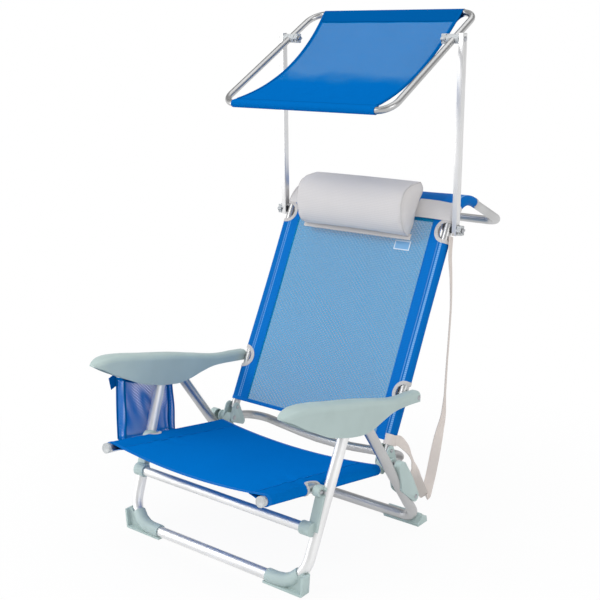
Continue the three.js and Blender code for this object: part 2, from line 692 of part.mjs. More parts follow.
// Main hinge brackets: two cheeks, a web, and the sockets of backrest rail and bow tube
const cheekInnerX = RAIL_HALF - railRadius - GAP;
const cheekOuterX = RAIL_HALF + railRadius + GAP;
const RAIL_RIVET = { y: PIVOT_D.y + 13, z: PIVOT_D.z + 25 };
const WEB_RIVET = { y: PIVOT_D.y + 17, z: PIVOT_D.z - 7 };
const cheekOutline = () => beltOutline([
  [PIVOT_D.y, PIVOT_D.z, 13],
  [PIVOT_D.y + 10, PIVOT_D.z + 24, 14],
  [WEB_RIVET.y + 3, WEB_RIVET.z + 3, 13],
  [WEB_RIVET.y + 17, WEB_RIVET.z - 13, 8],
]);
const innerCheek = sidePlate(cheekOutline(), cheekInnerX - CHEEK, cheekInnerX);
const outerCheek = sidePlate(cheekOutline(), cheekOuterX, cheekOuterX + CHEEK);
const hingeWeb = sidePlate(beltOutline([
  [WEB_RIVET.y, WEB_RIVET.z, 4.4],
  [WEB_RIVET.y + 17, WEB_RIVET.z - 13, 7],
]), cheekInnerX - 1, cheekOuterX + 1);

// Bow tube: leaves both brackets rearwards, then crosses behind the seat
const BOW_START = { y: 12, z: 182 };
const BOW_CORNER = { y: 86, z: 164 };
const BOW_MIDDLE = { y: 74, z: 145 };
const BOW_MIDDLE_BEND = 900;
const bowRoute = bentRoute(vec(RAIL_HALF, BOW_START.y, BOW_START.z), [
  [vec(RAIL_HALF, BOW_CORNER.y, BOW_CORNER.z), BOW_BEND],
  [vec(0, BOW_MIDDLE.y, BOW_MIDDLE.z), BOW_MIDDLE_BEND],
  [vec(-RAIL_HALF, BOW_CORNER.y, BOW_CORNER.z), BOW_BEND],
], vec(-RAIL_HALF, BOW_START.y, BOW_START.z));
addPiece(backrest, 'bow_tube', tube(bowRoute, RAIL_TUBE, TUBE_WALL), aluminium);
const bowEnvelope = tube(bowRoute, RAIL_TUBE + 2 * GAP, 0);

const rivetHole = (place) => drill(RIVET + 2 * PIN_PLAY, place);
const hingeBracket = cut(
  join(innerCheek, outerCheek, hingeWeb),
  bowEnvelope, dHole, rivetHole(RAIL_RIVET),
);
addPair(backrest, 'hinge_bracket', hingeBracket, seafoam);

const railRivet = rivet(RIVET, cheekInnerX - CHEEK, cheekOuterX + CHEEK, RAIL_RIVET);

// Backrest frame: both rails, the bends over the head and the towel bar in one tube
const backRoute = bothSides(backRailAt(BACK_RAIL_END_Z), [
  [backRailAt(BACK_HEAD_Z), BACK_TOP_BEND],
  [vec(RAIL_HALF, TOWEL_BAR.y, TOWEL_BAR.z), TOWEL_BAR_BEND],
]);
const cHole = drill(pinHole, PIVOT_C);
const postHole = drill(pinHole, POST_PIVOT);
const backHoles = [cHole, postHole, rivetHole(RAIL_RIVET)];
const backTube = tube(backRoute, RAIL_TUBE, TUBE_WALL);
addPiece(backrest, 'backrest_frame',
  cut(backTube, ...backHoles, ...backHoles.map(mirrored)), aluminium);
addPair(backrest, 'hinge_rivet', railRivet, steel);

// Pivot pins of the linkage
const pinD = rivet(PIN, cheekInnerX - CHEEK, leafInnerX, PIVOT_D);
addPair(backrest, 'hinge_pin', pinD, steel);

// Armrests: moulded shells, open underneath, with a lug at the rear
const ARM_FRONT = -448;
const armTop = profile([
  [-448, 431], [-432, 437], [-400, 438], [-350, 430], [-293, 417], [-197, 396],
  [-120, 376], [-50, 358], [-10, 352], [20, 350], [64, 345],
]);
const armLow = profile([
  [-448, 427], [-432, 419], [-400, 399], [-360, 377], [-321, 357], [-270, 340], [-233, 330],
  [-187, 322], [-150, 323], [-105, 330], [-60, 334], [0, 329], [64, 321],
]);
const armOuterReach = profile([
  [-448, 44], [-436, 54], [-410, 61], [-330, 63], [-200, 62], [-90, 56], [0, 48], [64, 45],
]);
const armInnerReach = profile([
  [-448, 28], [-436, 19], [-410, 14], [-330, 11], [-200, 16], [-90, 18], [-20, 17],
  [20, 15], [64, 14.5],
]);
const armOuter = (y) => RAIL_HALF + armOuterReach(y);
const armInner = (y) => RAIL_HALF + armInnerReach(y);
const armCrown = profile([[-448, 1.5], [-410, 4], [-200, 4], [-60, 3], [64, 1.5]]);

function armRing(y, wall, drop) {
  const inner = armInner(y) + wall;
  const outer = armOuter(y) - wall;
  const top = armTop(y) - wall;
  const low = Math.min(armLow(y) - drop, top - 3);
  const width = outer - inner;
  const crown = Math.min(armCrown(y), (top - low) / 3);
  const shoulder = Math.min(7, width / 4, (top - low) / 2.5);
  const middle = (inner + outer) / 2;
  return [
    vec(inner, y, low), vec(inner, y, top - shoulder), vec(inner + shoulder * 0.3, y, top - shoulder * 0.3),
    vec(inner + shoulder, y, top + crown * 0.3), vec(middle - width * 0.12, y, top + crown),
    vec(middle + width * 0.12, y, top + crown), vec(outer - shoulder, y, top + crown * 0.3),
    vec(outer - shoulder * 0.3, y, top - shoulder * 0.3), vec(outer, y, top - shoulder),
    vec(outer, y, low),
  ];
}

const ARM_STATIONS = [ARM_FRONT, -443, -434, -420, -400, -370, -330, -290, -250, -210, -170, -130,
  -95, -60, -30, 0, 30, 64];
const ARM_HOLLOW_END = 20;
const armSolid = loft(ARM_STATIONS.map((y) => armRing(y, 0, 0)));
const hollowStations = ARM_STATIONS.filter((y) => y > ARM_FRONT + 4 && y < ARM_HOLLOW_END);
const armHollow = loft(hollowStations.map((y) => armRing(y, MOULD_WALL, 40)));
const BLIND_SKIN = 1.5;
const PIN_BOSS_WALL = 3;
const pinBossX = armInner(PIVOT_B.y) + BLIND_SKIN;
const pinBossEnd = FRONT_LEG_HALF_TOP - legRadius - 1.5;
const pinBoss = across(pinHole + 2 * PIN_BOSS_WALL, pinBossX - 0.5, pinBossEnd, PIVOT_B);
const armBHole = across(pinHole, pinBossX, FRONT_LEG_HALF_TOP, PIVOT_B);
const armShell = cut(join(cut(armSolid, armHollow), pinBoss), armBHole, cHole);
addPiece(armRight, 'arm_right', armShell, seafoam);
addPiece(armLeft, 'arm_left', mirrored(armShell), seafoam);

const armPinHeadX = FRONT_LEG_HALF_TOP + legRadius + GAP;
const armPinB = join(
  across(PIN, pinBossX + GAP, armPinHeadX, PIVOT_B),
  across(PIN + 2 * HEAD_REACH, armPinHeadX, armPinHeadX + HEAD_HEIGHT, PIVOT_B),
);
addPiece(armRight, 'arm_leg_pin_right', armPinB, steel);
addPiece(armLeft, 'arm_leg_pin_left', mirrored(armPinB), steel);
const armPinC = rivet(PIN, RAIL_HALF - railRadius, armOuter(PIVOT_C.y), PIVOT_C);
addPair(backrest, 'arm_pivot_bolt', armPinC, steel);

const seatPinA = rivet(PIN, seatRailAt(PIVOT_A.y).x - railRadius, BRACKET_FACE_X, PIVOT_A);
addPair(frontLegs, 'seat_pivot_pin', seatPinA, steel);

// Posts, their spacers, bolts and star knobs
const postFoot = vec(POST_HALF_LOW, POST_PIVOT.y, POST_PIVOT.z);
const postHead = vec(POST_HALF_HIGH, POST_TOP.y, POST_TOP.z);
const postLength = postFoot.distanceTo(postHead);
const postUp = postHead.clone().sub(postFoot).normalize();
const postSideways = postUp.x * (POST_END_REACH + 2);
const lowPostInnerX = POST_HALF_LOW - POST_SECTION.x / 2 - postSideways;
const lowPostOuterX = POST_HALF_LOW + POST_SECTION.x / 2 + postSideways;
const highPostInnerX = POST_HALF_HIGH - POST_SECTION.x / 2 - postSideways;
const highPostOuterX = POST_HALF_HIGH + POST_SECTION.x / 2 + postSideways;
const GROOVE = { width: 5, depth: 1.2 };
const postOutline = new THREE.Shape([
  [-POST_SECTION.x / 2, -POST_SECTION.y / 2], [POST_SECTION.x / 2, -POST_SECTION.y / 2],
  [POST_SECTION.x / 2, -GROOVE.width / 2], [POST_SECTION.x / 2 - GROOVE.depth, 0],
  [POST_SECTION.x / 2, GROOVE.width / 2], [POST_SECTION.x / 2, POST_SECTION.y / 2],
  [-POST_SECTION.x / 2, POST_SECTION.y / 2],
].map(([x, y]) => new THREE.Vector2(x, y)));
const postBar = new THREE.ExtrudeGeometry(postOutline, {
  depth: postLength + 2 * POST_END_REACH, bevelEnabled: false,
}).translate(0, 0, -POST_END_REACH)
  .applyQuaternion(new THREE.Quaternion().setFromUnitVectors(vec(0, 0, 1), postUp))
  .translate(postFoot.x, postFoot.y, postFoot.z);
const postTopHole = drill(pinHole, POST_TOP);
addPair(posts, 'canopy_post', cut(postBar, postHole, postTopHole), aluminium);

const WASHER = 18;
const lowWasher = across(WASHER, RAIL_HALF + railRadius + GAP, lowPostInnerX - GAP, POST_PIVOT,
  TUBE_SIDES, pinHole);
addPair(posts, 'post_washer', lowWasher, seafoam);
const canopyRadius = CANOPY_TUBE / 2;
const CLAMP = { size: 22, inward: 17 };
const clampInnerX = CANOPY_HALF - CLAMP.inward;
const clampBlock = across(CLAMP.size, clampInnerX, highPostInnerX - GAP, POST_TOP, TUBE_SIDES, pinHole);

const KNOB = { radius: 13, lobe: 2, depth: 13, lobes: 6 };
function knobAt(x0, x1, place) {
  const points = Array.from({ length: 6 * KNOB.lobes }, (_, i) => {
    const angle = (2 * Math.PI * i) / (6 * KNOB.lobes);
    const radius = KNOB.radius + KNOB.lobe * Math.cos(KNOB.lobes * angle);
    return new THREE.Vector2(place.y + radius * Math.cos(angle), place.z + radius * Math.sin(angle));
  });
  return cut(sidePlate(new THREE.Shape(points), x0, x1), across(pinHole, x0 - 5, x1 + 5, place));
}
const boltLow = rivet(PIN, RAIL_HALF - railRadius, lowPostOuterX + KNOB.depth + 2 * GAP, POST_PIVOT);
addPair(backrest, 'post_bolt', boltLow, steel);
const lowKnob = knobAt(lowPostOuterX + GAP, lowPostOuterX + GAP + KNOB.depth, POST_PIVOT);
const highKnob = knobAt(clampInnerX - GAP - KNOB.depth, clampInnerX - GAP, POST_TOP);
const highBolt = rivet(PIN, clampInnerX - KNOB.depth - 2 * GAP, highPostOuterX, POST_TOP);
addPair(posts, 'canopy_bolt', highBolt, steel);
const knobBodies = ['right', 'left'].map(() => [addBody(posts), addBody(posts)]);
addPiece(knobBodies[0][0], 'post_knob_right', lowKnob, clearGrey);
addPiece(knobBodies[1][0], 'post_knob_left', mirrored(lowKnob), clearGrey);
addPiece(knobBodies[0][1], 'canopy_knob_right', highKnob, clearGrey);
addPiece(knobBodies[1][1], 'canopy_knob_left', mirrored(highKnob), clearGrey);

// Canopy: a rounded loop of thin tube, its butt joint hidden in the rear hem
const JOINT_HALF = 0.2;
const canopyCorner = (side, place) => [vec(side * CANOPY_HALF, place.y, place.z), CANOPY_BEND];
const canopyRoute = bentRoute(vec(JOINT_HALF, CANOPY_REAR.y, CANOPY_REAR.z), [
  canopyCorner(1, CANOPY_REAR), canopyCorner(1, CANOPY_FRONT),
  canopyCorner(-1, CANOPY_FRONT), canopyCorner(-1, CANOPY_REAR),
], vec(-JOINT_HALF, CANOPY_REAR.y, CANOPY_REAR.z));
const canopyTube = tube(canopyRoute, CANOPY_TUBE, TUBE_WALL, 10);
addPiece(canopy, 'canopy_frame', cut(canopyTube, postTopHole, mirrored(postTopHole)), aluminium);
const canopyEnvelope = tube(canopyRoute, CANOPY_TUBE + 2 * GAP, 0, 10);
addPair(canopy, 'canopy_clamp', cut(clampBlock, canopyEnvelope), seafoam);

// Canopy cloth: hems round the front and rear bars, a shallow hollow between them
const CANOPY_CLOTH_HALF = CANOPY_HALF - 36;
const CANOPY_SIDE_DRAW = 9;
const CANOPY_SAG = 40;
const HEM_TURN = 2.9;
const HEM_STEPS = 7;
const hemRadius = (canopyRadius + GAP) / Math.cos(HEM_TURN / HEM_STEPS / 2) + CLOTH / 2 + 0.1;
const canopySide = [];
for (let i = 0; i <= HEM_STEPS; i += 1) {
  const angle = Math.PI / 2 + HEM_TURN * (1 - i / HEM_STEPS) + CANOPY_SLOPE;
  canopySide.push({ place: CANOPY_FRONT, angle, share: 0 });
}
const CANOPY_RUNS = 9;
for (let i = 1; i < CANOPY_RUNS; i += 1) {
  canopySide.push({ place: null, angle: Math.PI / 2 + CANOPY_SLOPE, share: i / CANOPY_RUNS });
}
for (let i = 0; i <= HEM_STEPS; i += 1) {
  const angle = Math.PI / 2 - HEM_TURN * (i / HEM_STEPS) + CANOPY_SLOPE;
  canopySide.push({ place: CANOPY_REAR, angle, share: 1 });
}
const CANOPY_COLUMNS = 10;
const canopyGrid = canopySide.map(({ place, angle, share }) => {
  const bulge = 4 * share * (1 - share);
  const half = CANOPY_CLOTH_HALF - CANOPY_SIDE_DRAW * bulge;
  const base = place ?? {
    y: CANOPY_FRONT.y + (CANOPY_REAR.y - CANOPY_FRONT.y) * share,
    z: CANOPY_FRONT.z + (CANOPY_REAR.z - CANOPY_FRONT.z) * share,
  };
  return Array.from({ length: CANOPY_COLUMNS + 1 }, (_, c) => {
    const x = half * ((2 * c) / CANOPY_COLUMNS - 1);
    const sag = CANOPY_SAG * bulge;
    return vec(x, base.y + hemRadius * Math.cos(angle),
      base.z + hemRadius * Math.sin(angle) - sag);
  });
});
addPiece(canopy, 'canopy_cloth', sheet(canopyGrid, CLOTH), blueMesh);

// Sling cloth stretched between two rails: wrapped round both, with a shallow hollow between
const WRAP_TURN = 3.9;
const WRAP_STEPS = 6;
const WRAP_ANGLES = Array.from({ length: WRAP_STEPS + 1 }, (_, i) => WRAP_TURN * (1 - i / WRAP_STEPS));
const SLING_COLUMNS = 6;
const slingRadius = (railRadius + GAP) / Math.cos(WRAP_TURN / WRAP_STEPS / 2) + CLOTH / 2 + 0.1;
function slingGrid(stations, sagAt) {
  return stations.map(({ centre, normal }, row) => {
    const wrap = (side) => WRAP_ANGLES.map((angle) => centre.clone().setX(side * centre.x)
      .addScaledVector(normal, slingRadius * Math.cos(angle))
      .add(vec(side * slingRadius * Math.sin(angle), 0, 0)));
    const middle = [];
    for (let c = 1; c < SLING_COLUMNS; c += 1) {
      const across01 = (2 * c) / SLING_COLUMNS - 1;
      const sag = sagAt(row / (stations.length - 1)) * (1 - across01 ** 2);
      middle.push(centre.clone().setX(across01 * centre.x)
        .addScaledVector(normal, slingRadius - sag));
    }
    return [...wrap(-1), ...middle, ...wrap(1).reverse()];
  });
}

// Stations along a rail with the normal that points towards the sitter
function railStations(points) {
  return points.map((centre, i) => {
    const before = points[Math.max(i - 1, 0)];
    const after = points[Math.min(i + 1, points.length - 1)];
    const along = after.clone().sub(before).normalize();
    return { centre, normal: vec(0, -along.z, along.y).normalize() };
  });
}

const SEAT_CLOTH_FRONT_Y = -446;
const SEAT_CLOTH_REAR_Y = -52;
const SEAT_SAG = 16;
const seatStations = railStations(Array.from({ length: 9 }, (_, i) => (
  seatRailAt(SEAT_CLOTH_FRONT_Y + ((SEAT_CLOTH_REAR_Y - SEAT_CLOTH_FRONT_Y) * i) / 8))));
seatStations.forEach((station) => station.normal.set(0, Math.abs(SEAT_PITCH), 1).normalize());
const seatCloth = sheet(slingGrid(seatStations, () => SEAT_SAG), CLOTH);
const SEAT_NOTCH = 19;
const seatNotch = across(2 * SEAT_NOTCH, SEAT_HALF_FRONT - 8, RAIL_HALF + 30, PIVOT_A, TUBE_SIDES);
addPiece(seat, 'seat_cloth', cut(seatCloth, seatNotch, mirrored(seatNotch)), blueMesh);

const BACK_CLOTH_LOW_Z = 228;
const BACK_CLOTH_END_Y = 372;
const BACK_SAG = 16;
const straightTopZ = backRoute[1].z;
const backPoints = Array.from({ length: 8 }, (_, i) => (
  backRailAt(BACK_CLOTH_LOW_Z + ((straightTopZ - BACK_CLOTH_LOW_Z) * i) / 8)));
const headPoints = backRoute.filter((point, i) => (
  i >= 1 && point.x > RAIL_HALF - 0.01 && point.y < BACK_CLOTH_END_Y));
const backStations = railStations([...backPoints, ...headPoints]);
const backCloth = sheet(slingGrid(backStations, (share) => BACK_SAG * (1 - share ** 3)), CLOTH);
const ARM_NOTCH = 22;
const POST_NOTCH = 25;
const POST_NOTCH_DROP = 9;
const railUp = backRailAt(PIVOT_C.z + 1).sub(backRailAt(PIVOT_C.z)).normalize();
const postNotchPlace = {
  y: POST_PIVOT.y - POST_NOTCH_DROP * railUp.y,
  z: POST_PIVOT.z - POST_NOTCH_DROP * railUp.z,
};
const notchAt = (place, radius) => across(2 * radius, RAIL_HALF - 14, RAIL_HALF + 30, place, TUBE_SIDES);
const backNotches = [notchAt(PIVOT_C, ARM_NOTCH), notchAt(postNotchPlace, POST_NOTCH)];
addPiece(backrest, 'backrest_cloth',
  cut(backCloth, ...backNotches, ...backNotches.map(mirrored)), blueMesh);

// Head pillow: a stuffed D-section with crowned front and drawn-in ends
const PILLOW_HALF = RAIL_HALF - 80;
const PILLOW_CENTRE = { y: 214, z: 748 };
const pillowCurve = new THREE.CatmullRomCurve3([
  vec(0, 200, 677), vec(0, 171, 700), vec(0, 157, 744), vec(0, 167, 785), vec(0, 205, 806),
  vec(0, 246, 803), vec(0, 262, 786), vec(0, 249, 764), vec(0, 233, 738), vec(0, 219, 704),
], true, 'catmullrom', 0.5);
const PILLOW_SIDES = 22;
const pillowSection = pillowCurve.getPoints(PILLOW_SIDES).slice(0, PILLOW_SIDES);
const pillowPuff = profile([[-1, 0.78], [-0.985, 0.9], [-0.93, 0.97], [-0.6, 1], [0, 1.01],
  [0.6, 1], [0.93, 0.97], [0.985, 0.9], [1, 0.78]]);
const PILLOW_STATIONS = [-1, -0.985, -0.955, -0.9, -0.75, -0.5, -0.25, 0, 0.25, 0.5, 0.75, 0.9,
  0.955, 0.985, 1];
const pillowRings = PILLOW_STATIONS.map((s) => pillowSection.map((point) => vec(
  PILLOW_HALF * s,
  PILLOW_CENTRE.y + (point.y - PILLOW_CENTRE.y) * pillowPuff(s),
  PILLOW_CENTRE.z + (point.z - PILLOW_CENTRE.z) * pillowPuff(s),
)));
addPiece(backrest, 'head_pillow', loft(pillowRings), greyCloth);

// Pillow strap: from one end of the pillow round both rails and across behind the cloth
const STRAP_STEP = 0.5;
const STRAP_RADIUS = (slingRadius + CLOTH / 2 + GAP) / Math.cos(STRAP_STEP / 2) + CLOTH / 2 + 0.2;
const STRAP_SEAM_LIFT = 2.4;
const strapPath = [];
const strapWrap = Array.from({ length: 7 }, (_, i) => STRAP_STEP * i + (i === 6 ? Math.PI - 3 : 0));
strapPath.push([-PILLOW_HALF - 2 * GAP, STRAP_SEAM_LIFT]);
strapWrap.forEach((angle) => (
  strapPath.push([-RAIL_HALF - STRAP_RADIUS * Math.sin(angle), Math.cos(angle)])));
const strapBack = RAIL_HALF - 90;
[-1, -0.5, 0, 0.5, 1].forEach((share) => strapPath.push([share * strapBack, -1]));
[...strapWrap].reverse().forEach((angle) => (
  strapPath.push([RAIL_HALF + STRAP_RADIUS * Math.sin(angle), Math.cos(angle)])));
strapPath.push([PILLOW_HALF + 2 * GAP, STRAP_SEAM_LIFT]);
const strapGrid = railStations(headPoints).slice(0, 3).map(({ centre, normal }) => (
  strapPath.map(([x, lift]) => centre.clone().setX(x).addScaledVector(normal, STRAP_RADIUS * lift))));
addPiece(backrest, 'pillow_strap', sheet(strapGrid, CLOTH), greyCloth);

// Side pocket: an open-topped net bag hung under the outer edge of the left arm
const POCKET = { innerX: -RAIL_HALF - 57, outerX: -RAIL_HALF - 90, front: -333, rear: -172, wall: 1.4 };
const pocketTop = (y) => armLow(y) - 1.2;
const pocketLow = profile([[-333, 205], [-250, 190], [-172, 181]]);
function pocketRing(level, inset) {
  const round = 9 - inset;
  const front = POCKET.front + inset;
  const rear = POCKET.rear - inset;
  const inner = POCKET.innerX - inset;
  const outer = POCKET.outerX + inset;
  const corners = [
    [inner, front + 1], [inner, (front + rear) / 2], [inner, rear - 1],
    [inner - 4, rear], [outer + round, rear], [outer, rear - round],
    [outer - 5 * (1 - inset / 10), (front + rear) / 2], [outer, front + round],
    [outer + round, front], [inner - 4, front],
  ];
  return corners.map(([x, y]) => {
    const top = pocketTop(y);
    const low = pocketLow(y) + inset;
    return vec(x, y, low + (top - low) * level);
  });
}
const pocketOuter = loft([0, 0.3, 0.6, 1].map((level) => pocketRing(level, 0)));
const pocketRoom = loft([0, 0.3, 0.6, 1.1].map((level) => pocketRing(level, POCKET.wall)));
addPiece(armLeft, 'side_pocket', cut(pocketOuter, pocketRoom), blueMesh);

// Carry strap: a flat webbing that hangs in one long loop beside the right backrest rail
const WEBBING = { width: 25, thickness: 1.8, reach: 22, endReach: 13.7 };
const webbingRoute = [
  [237, 686], [224, 636], [227, 590], [229, 519], [226, 441], [222, 362], [218, 280],
  [211, 226], [195, 190], [176, 140], [160, 98], [146, 68], [133, 58], [120, 68], [104, 96],
  [87, 128], [77, 158], [64, 192], [44, 224], [18, 248],
];
const webbingPoints = webbingRoute.map(([y, z], i) => {
  const atEnd = i === 0 || i === webbingRoute.length - 1;
  return vec(RAIL_HALF + (atEnd ? WEBBING.endReach : WEBBING.reach), y, z);
});
const webbingSection = new THREE.Shape([
  [1, 0.6], [0.4, 1], [-0.4, 1], [-1, 0.6], [-1, -0.6], [-0.4, -1], [0.4, -1], [1, -0.6],
].map(([a, b]) => new THREE.Vector2((a * WEBBING.thickness) / 2, (b * WEBBING.width) / 2)));
const webbingPath = new StationPath(webbingPoints);
const webbing = new THREE.ExtrudeGeometry(webbingSection, {
  steps: webbingPath.steps, bevelEnabled: false, extrudePath: webbingPath,
});
addPiece(backrest, 'carry_strap', geometryOf(solid(webbing)), greyCloth);

// The origin sits on the floor under the middle of the whole chair
const bounds = new THREE.Box3().setFromObject(chair);
const middle = bounds.getCenter(new THREE.Vector3());
chair.position.set(-middle.x, -middle.y, -bounds.min.z);

export default chair;
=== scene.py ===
"""A low folding beach chair with a tilting canopy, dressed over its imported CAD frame."""

from math import atan2, ceil, cos, pi, radians, sin, sqrt, tan

import bmesh
import bpy
import numpy as np
from bpy.props import FloatProperty, FloatVectorProperty, PointerProperty
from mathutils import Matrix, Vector


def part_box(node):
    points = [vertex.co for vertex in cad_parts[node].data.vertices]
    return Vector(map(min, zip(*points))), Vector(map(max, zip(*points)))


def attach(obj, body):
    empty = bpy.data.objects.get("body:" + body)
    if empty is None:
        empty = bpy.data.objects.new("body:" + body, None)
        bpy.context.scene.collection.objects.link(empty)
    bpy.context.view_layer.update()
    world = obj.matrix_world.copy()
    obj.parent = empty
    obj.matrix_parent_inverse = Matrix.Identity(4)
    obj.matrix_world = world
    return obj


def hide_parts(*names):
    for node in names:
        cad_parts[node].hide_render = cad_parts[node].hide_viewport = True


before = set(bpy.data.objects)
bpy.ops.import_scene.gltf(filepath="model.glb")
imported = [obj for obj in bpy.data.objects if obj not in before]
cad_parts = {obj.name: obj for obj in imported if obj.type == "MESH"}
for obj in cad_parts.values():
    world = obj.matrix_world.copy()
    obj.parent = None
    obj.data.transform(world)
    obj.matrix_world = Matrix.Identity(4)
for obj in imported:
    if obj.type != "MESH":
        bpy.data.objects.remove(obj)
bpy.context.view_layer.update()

bl_info = {
    "name": "Beach Chair Dresser",
    "version": (1, 0, 0),
    "blender": (4, 5, 0),
    "location": "3D View > Sidebar > Beach Chair",
    "description": "Models the pieces and finishes of a folding canopy chair over its CAD frame",
    "category": "Add Mesh",
}

MM = 0.001

# The linkage and the frame, in millimetres, seen from the side as (y, z)
SEAT_PIVOT = (-299.0, 217.0)
MAIN_PIVOT = (-22.0, 188.0)
ARM_REAR_PIVOT = (56.0, 333.0)
POST_PIVOT = (243.0, 702.0)
CANOPY_FRONT = (-26.9, 998.8)
CANOPY_REAR = (345.1, 1208.9)
TOWEL_BAR = (521.0, 681.0)
RAIL_HALF = 240.0
BACK_SLOPE = 0.502  # how far a backrest rail goes back for each millimetre that it rises
RAIL_RISE = 0.8937  # how far it rises for each millimetre of its length

SIDES = ((1, "right"), (-1, "left"))
WORDS = ("right", "left")


def middle_of(node):
    """The middle of a CAD node's box."""
    low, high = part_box(node)
    return (low + high) / 2


def find_shift():
    """Where the chair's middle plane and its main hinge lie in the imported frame."""
    across = (middle_of("seat_rail_right").x + middle_of("seat_rail_left").x) / 2
    pin = middle_of("hinge_pin_right")
    return Vector((across, pin.y - MAIN_PIVOT[0] * MM, pin.z - MAIN_PIVOT[1] * MM))


SHIFT = find_shift()


def at(x, y, z):
    """A point of the chair given in millimetres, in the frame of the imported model."""
    return Vector((x, y, z)) * MM + SHIFT


def linear(hex_colour):
    """An sRGB hex colour as linear red, green, blue and alpha."""
    channels = [int(hex_colour[i:i + 2], 16) / 255 for i in (1, 3, 5)]
    channels = [c / 12.92 if c <= 0.04045 else ((c + 0.055) / 1.055) ** 2.4 for c in channels]
    return tuple(channels + [1.0])


# ---- Settings ----


def length(name, description, default_mm, low_mm, high_mm):
    """A size setting in metres, given in millimetres."""
    return FloatProperty(name=name, description=description, default=default_mm * MM,
                         min=low_mm * MM, max=high_mm * MM, unit="LENGTH", precision=4)


def tint(name, description, hex_colour):
    """A colour setting."""
    return FloatVectorProperty(name=name, description=description, subtype="COLOR", size=4,
                               min=0.0, max=1.0, default=linear(hex_colour))


class BEACHCHAIR_PG_sizes(bpy.types.PropertyGroup):
    """Sizes of the tubes, cloths and webbing"""

    leg_tube: length("Leg tube", "Outside diameter of the leg tubes", 25, 18, 32)
    rail_tube: length("Rail tube", "Outside diameter of seat, back and bow tubes", 22, 16, 28)
    canopy_tube: length("Canopy tube", "Outside diameter of the canopy loop", 16, 10, 22)
    tube_wall: length("Tube wall", "Wall thickness of all tubes", 1.2, 0.8, 2)
    cloth: length("Cloth", "Thickness of the mesh cloth", 1.0, 0.5, 2)
    seat_sag: length("Seat sag", "Depth of the hollow in the empty seat", 16, 0, 60)
    back_sag: length("Back sag", "Depth of the hollow in the empty backrest", 14, 0, 60)
    canopy_sag: length("Canopy sag", "Depth of the hollow in the canopy", 40, 0, 80)
    webbing: length("Webbing", "Width of the carry strap", 25, 15, 40)


class BEACHCHAIR_PG_colours(bpy.types.PropertyGroup):
    """Colours of the finishes"""

    aluminium: tint("Aluminium", "Anodised tube", "#e6e6e6")
    moulding: tint("Mouldings", "Grey-green plastic", "#afc1bf")
    mesh_blue: tint("Mesh cloth", "Blue of the coated yarn", "#036fc4")
    open_blue: tint("Open mesh", "Blue of the single layer of the backrest", "#0892c9")
    # This blue shows only in the canopy's paler open area, which is a painted reflection
    canopy_glare_blue: tint("Canopy mesh", "Blue of the single layer of the canopy", "#0576bd")
    webbing_grey: tint("Grey cloth", "Pillow, its band and bindings", "#dad7d6")
    strap_grey: tint("Carry strap", "Warmer grey of the long webbing", "#e2d9d3")
    clear_grey: tint("Caps and knobs", "Pale translucent plastic", "#c3c7c9")
    steel: tint("Fasteners", "Plated rivets and bolts", "#b4b6ba")
    rubber: tint("Washers", "Black rubber", "#25272a")


# ---- Materials ----


ADD = {"operation": "ADD"}
TIMES = {"operation": "MULTIPLY"}
TIMES_ADD = {"operation": "MULTIPLY_ADD"}
LARGER = {"operation": "MAXIMUM"}
COLOURS = {"data_type": "RGBA"}

# Places on the cloths' own maps, in metres from the middle and from the front or lower end
CANOPY_SIDE_HEM, CANOPY_REAR_HEM = 0.196, 0.446
# Where the canopy's painted reflection starts, counted from its front
CANOPY_GLARE_OPENS = (0.245, 0.31)
BACK_SEAM, BACK_OPEN_END = 0.2015, (0.56, 0.564)
SEAT_SEAM = 0.1945
STITCH_PITCH = 5 * MM
SOFT_EDGE = 0.6 * MM
LABEL_FIELD = (0.0205, 0.0095)


def wire(tree, target, **links):
    """Links or sets inputs of a node, each named by its label or, as i0, by its place."""
    for key, value in links.items():
        by_place = key[0] == "i" and key[1:].isdigit()
        socket = target.inputs[int(key[1:]) if by_place else key.replace("_", " ")]
        if isinstance(value, bpy.types.NodeSocket):
            tree.links.new(value, socket)
        else:
            socket.default_value = value


def node(tree, kind, out=0, settings=None, **links):
    """Adds a shader node with its settings and links, and gives one output, or all with None."""
    made = tree.nodes.new("ShaderNode" + kind)
    for key, value in (settings or {}).items():
        setattr(made, key, value)
    wire(tree, made, **links)
    return made.outputs if out is None else made.outputs[out]


def new_material(name):
    """A material with a Principled shader, as (material, tree, shader)."""
    material = bpy.data.materials.new(name)
    material.use_nodes = True
    tree = material.node_tree
    return material, tree, tree.nodes["Principled BSDF"]


def shade(colour, factor):
    """A colour made darker or paler by a factor."""
    return tuple([min(1.0, c * factor) for c in colour[:3]] + [1.0])


def wave(tree, source, pitch):
    """Ridges of one pitch in metres along a value, from 0 to 1."""
    angle = node(tree, "Math", 0, TIMES, i0=source, i1=2 * pi / pitch)
    sine = node(tree, "Math", 0, {"operation": "SINE"}, i0=angle)
    return node(tree, "MapRange", i0=sine, i1=-1, i2=1, i3=0, i4=1)


def within(tree, source, limit, soft=SOFT_EDGE):
    """1 where a value is nearer to 0 than a limit, and 0 past it."""
    reach = node(tree, "Math", 0, {"operation": "ABSOLUTE"}, i0=source)
    return node(tree, "MapRange", i0=reach, i1=limit - soft, i2=limit + soft, i3=1, i4=0)


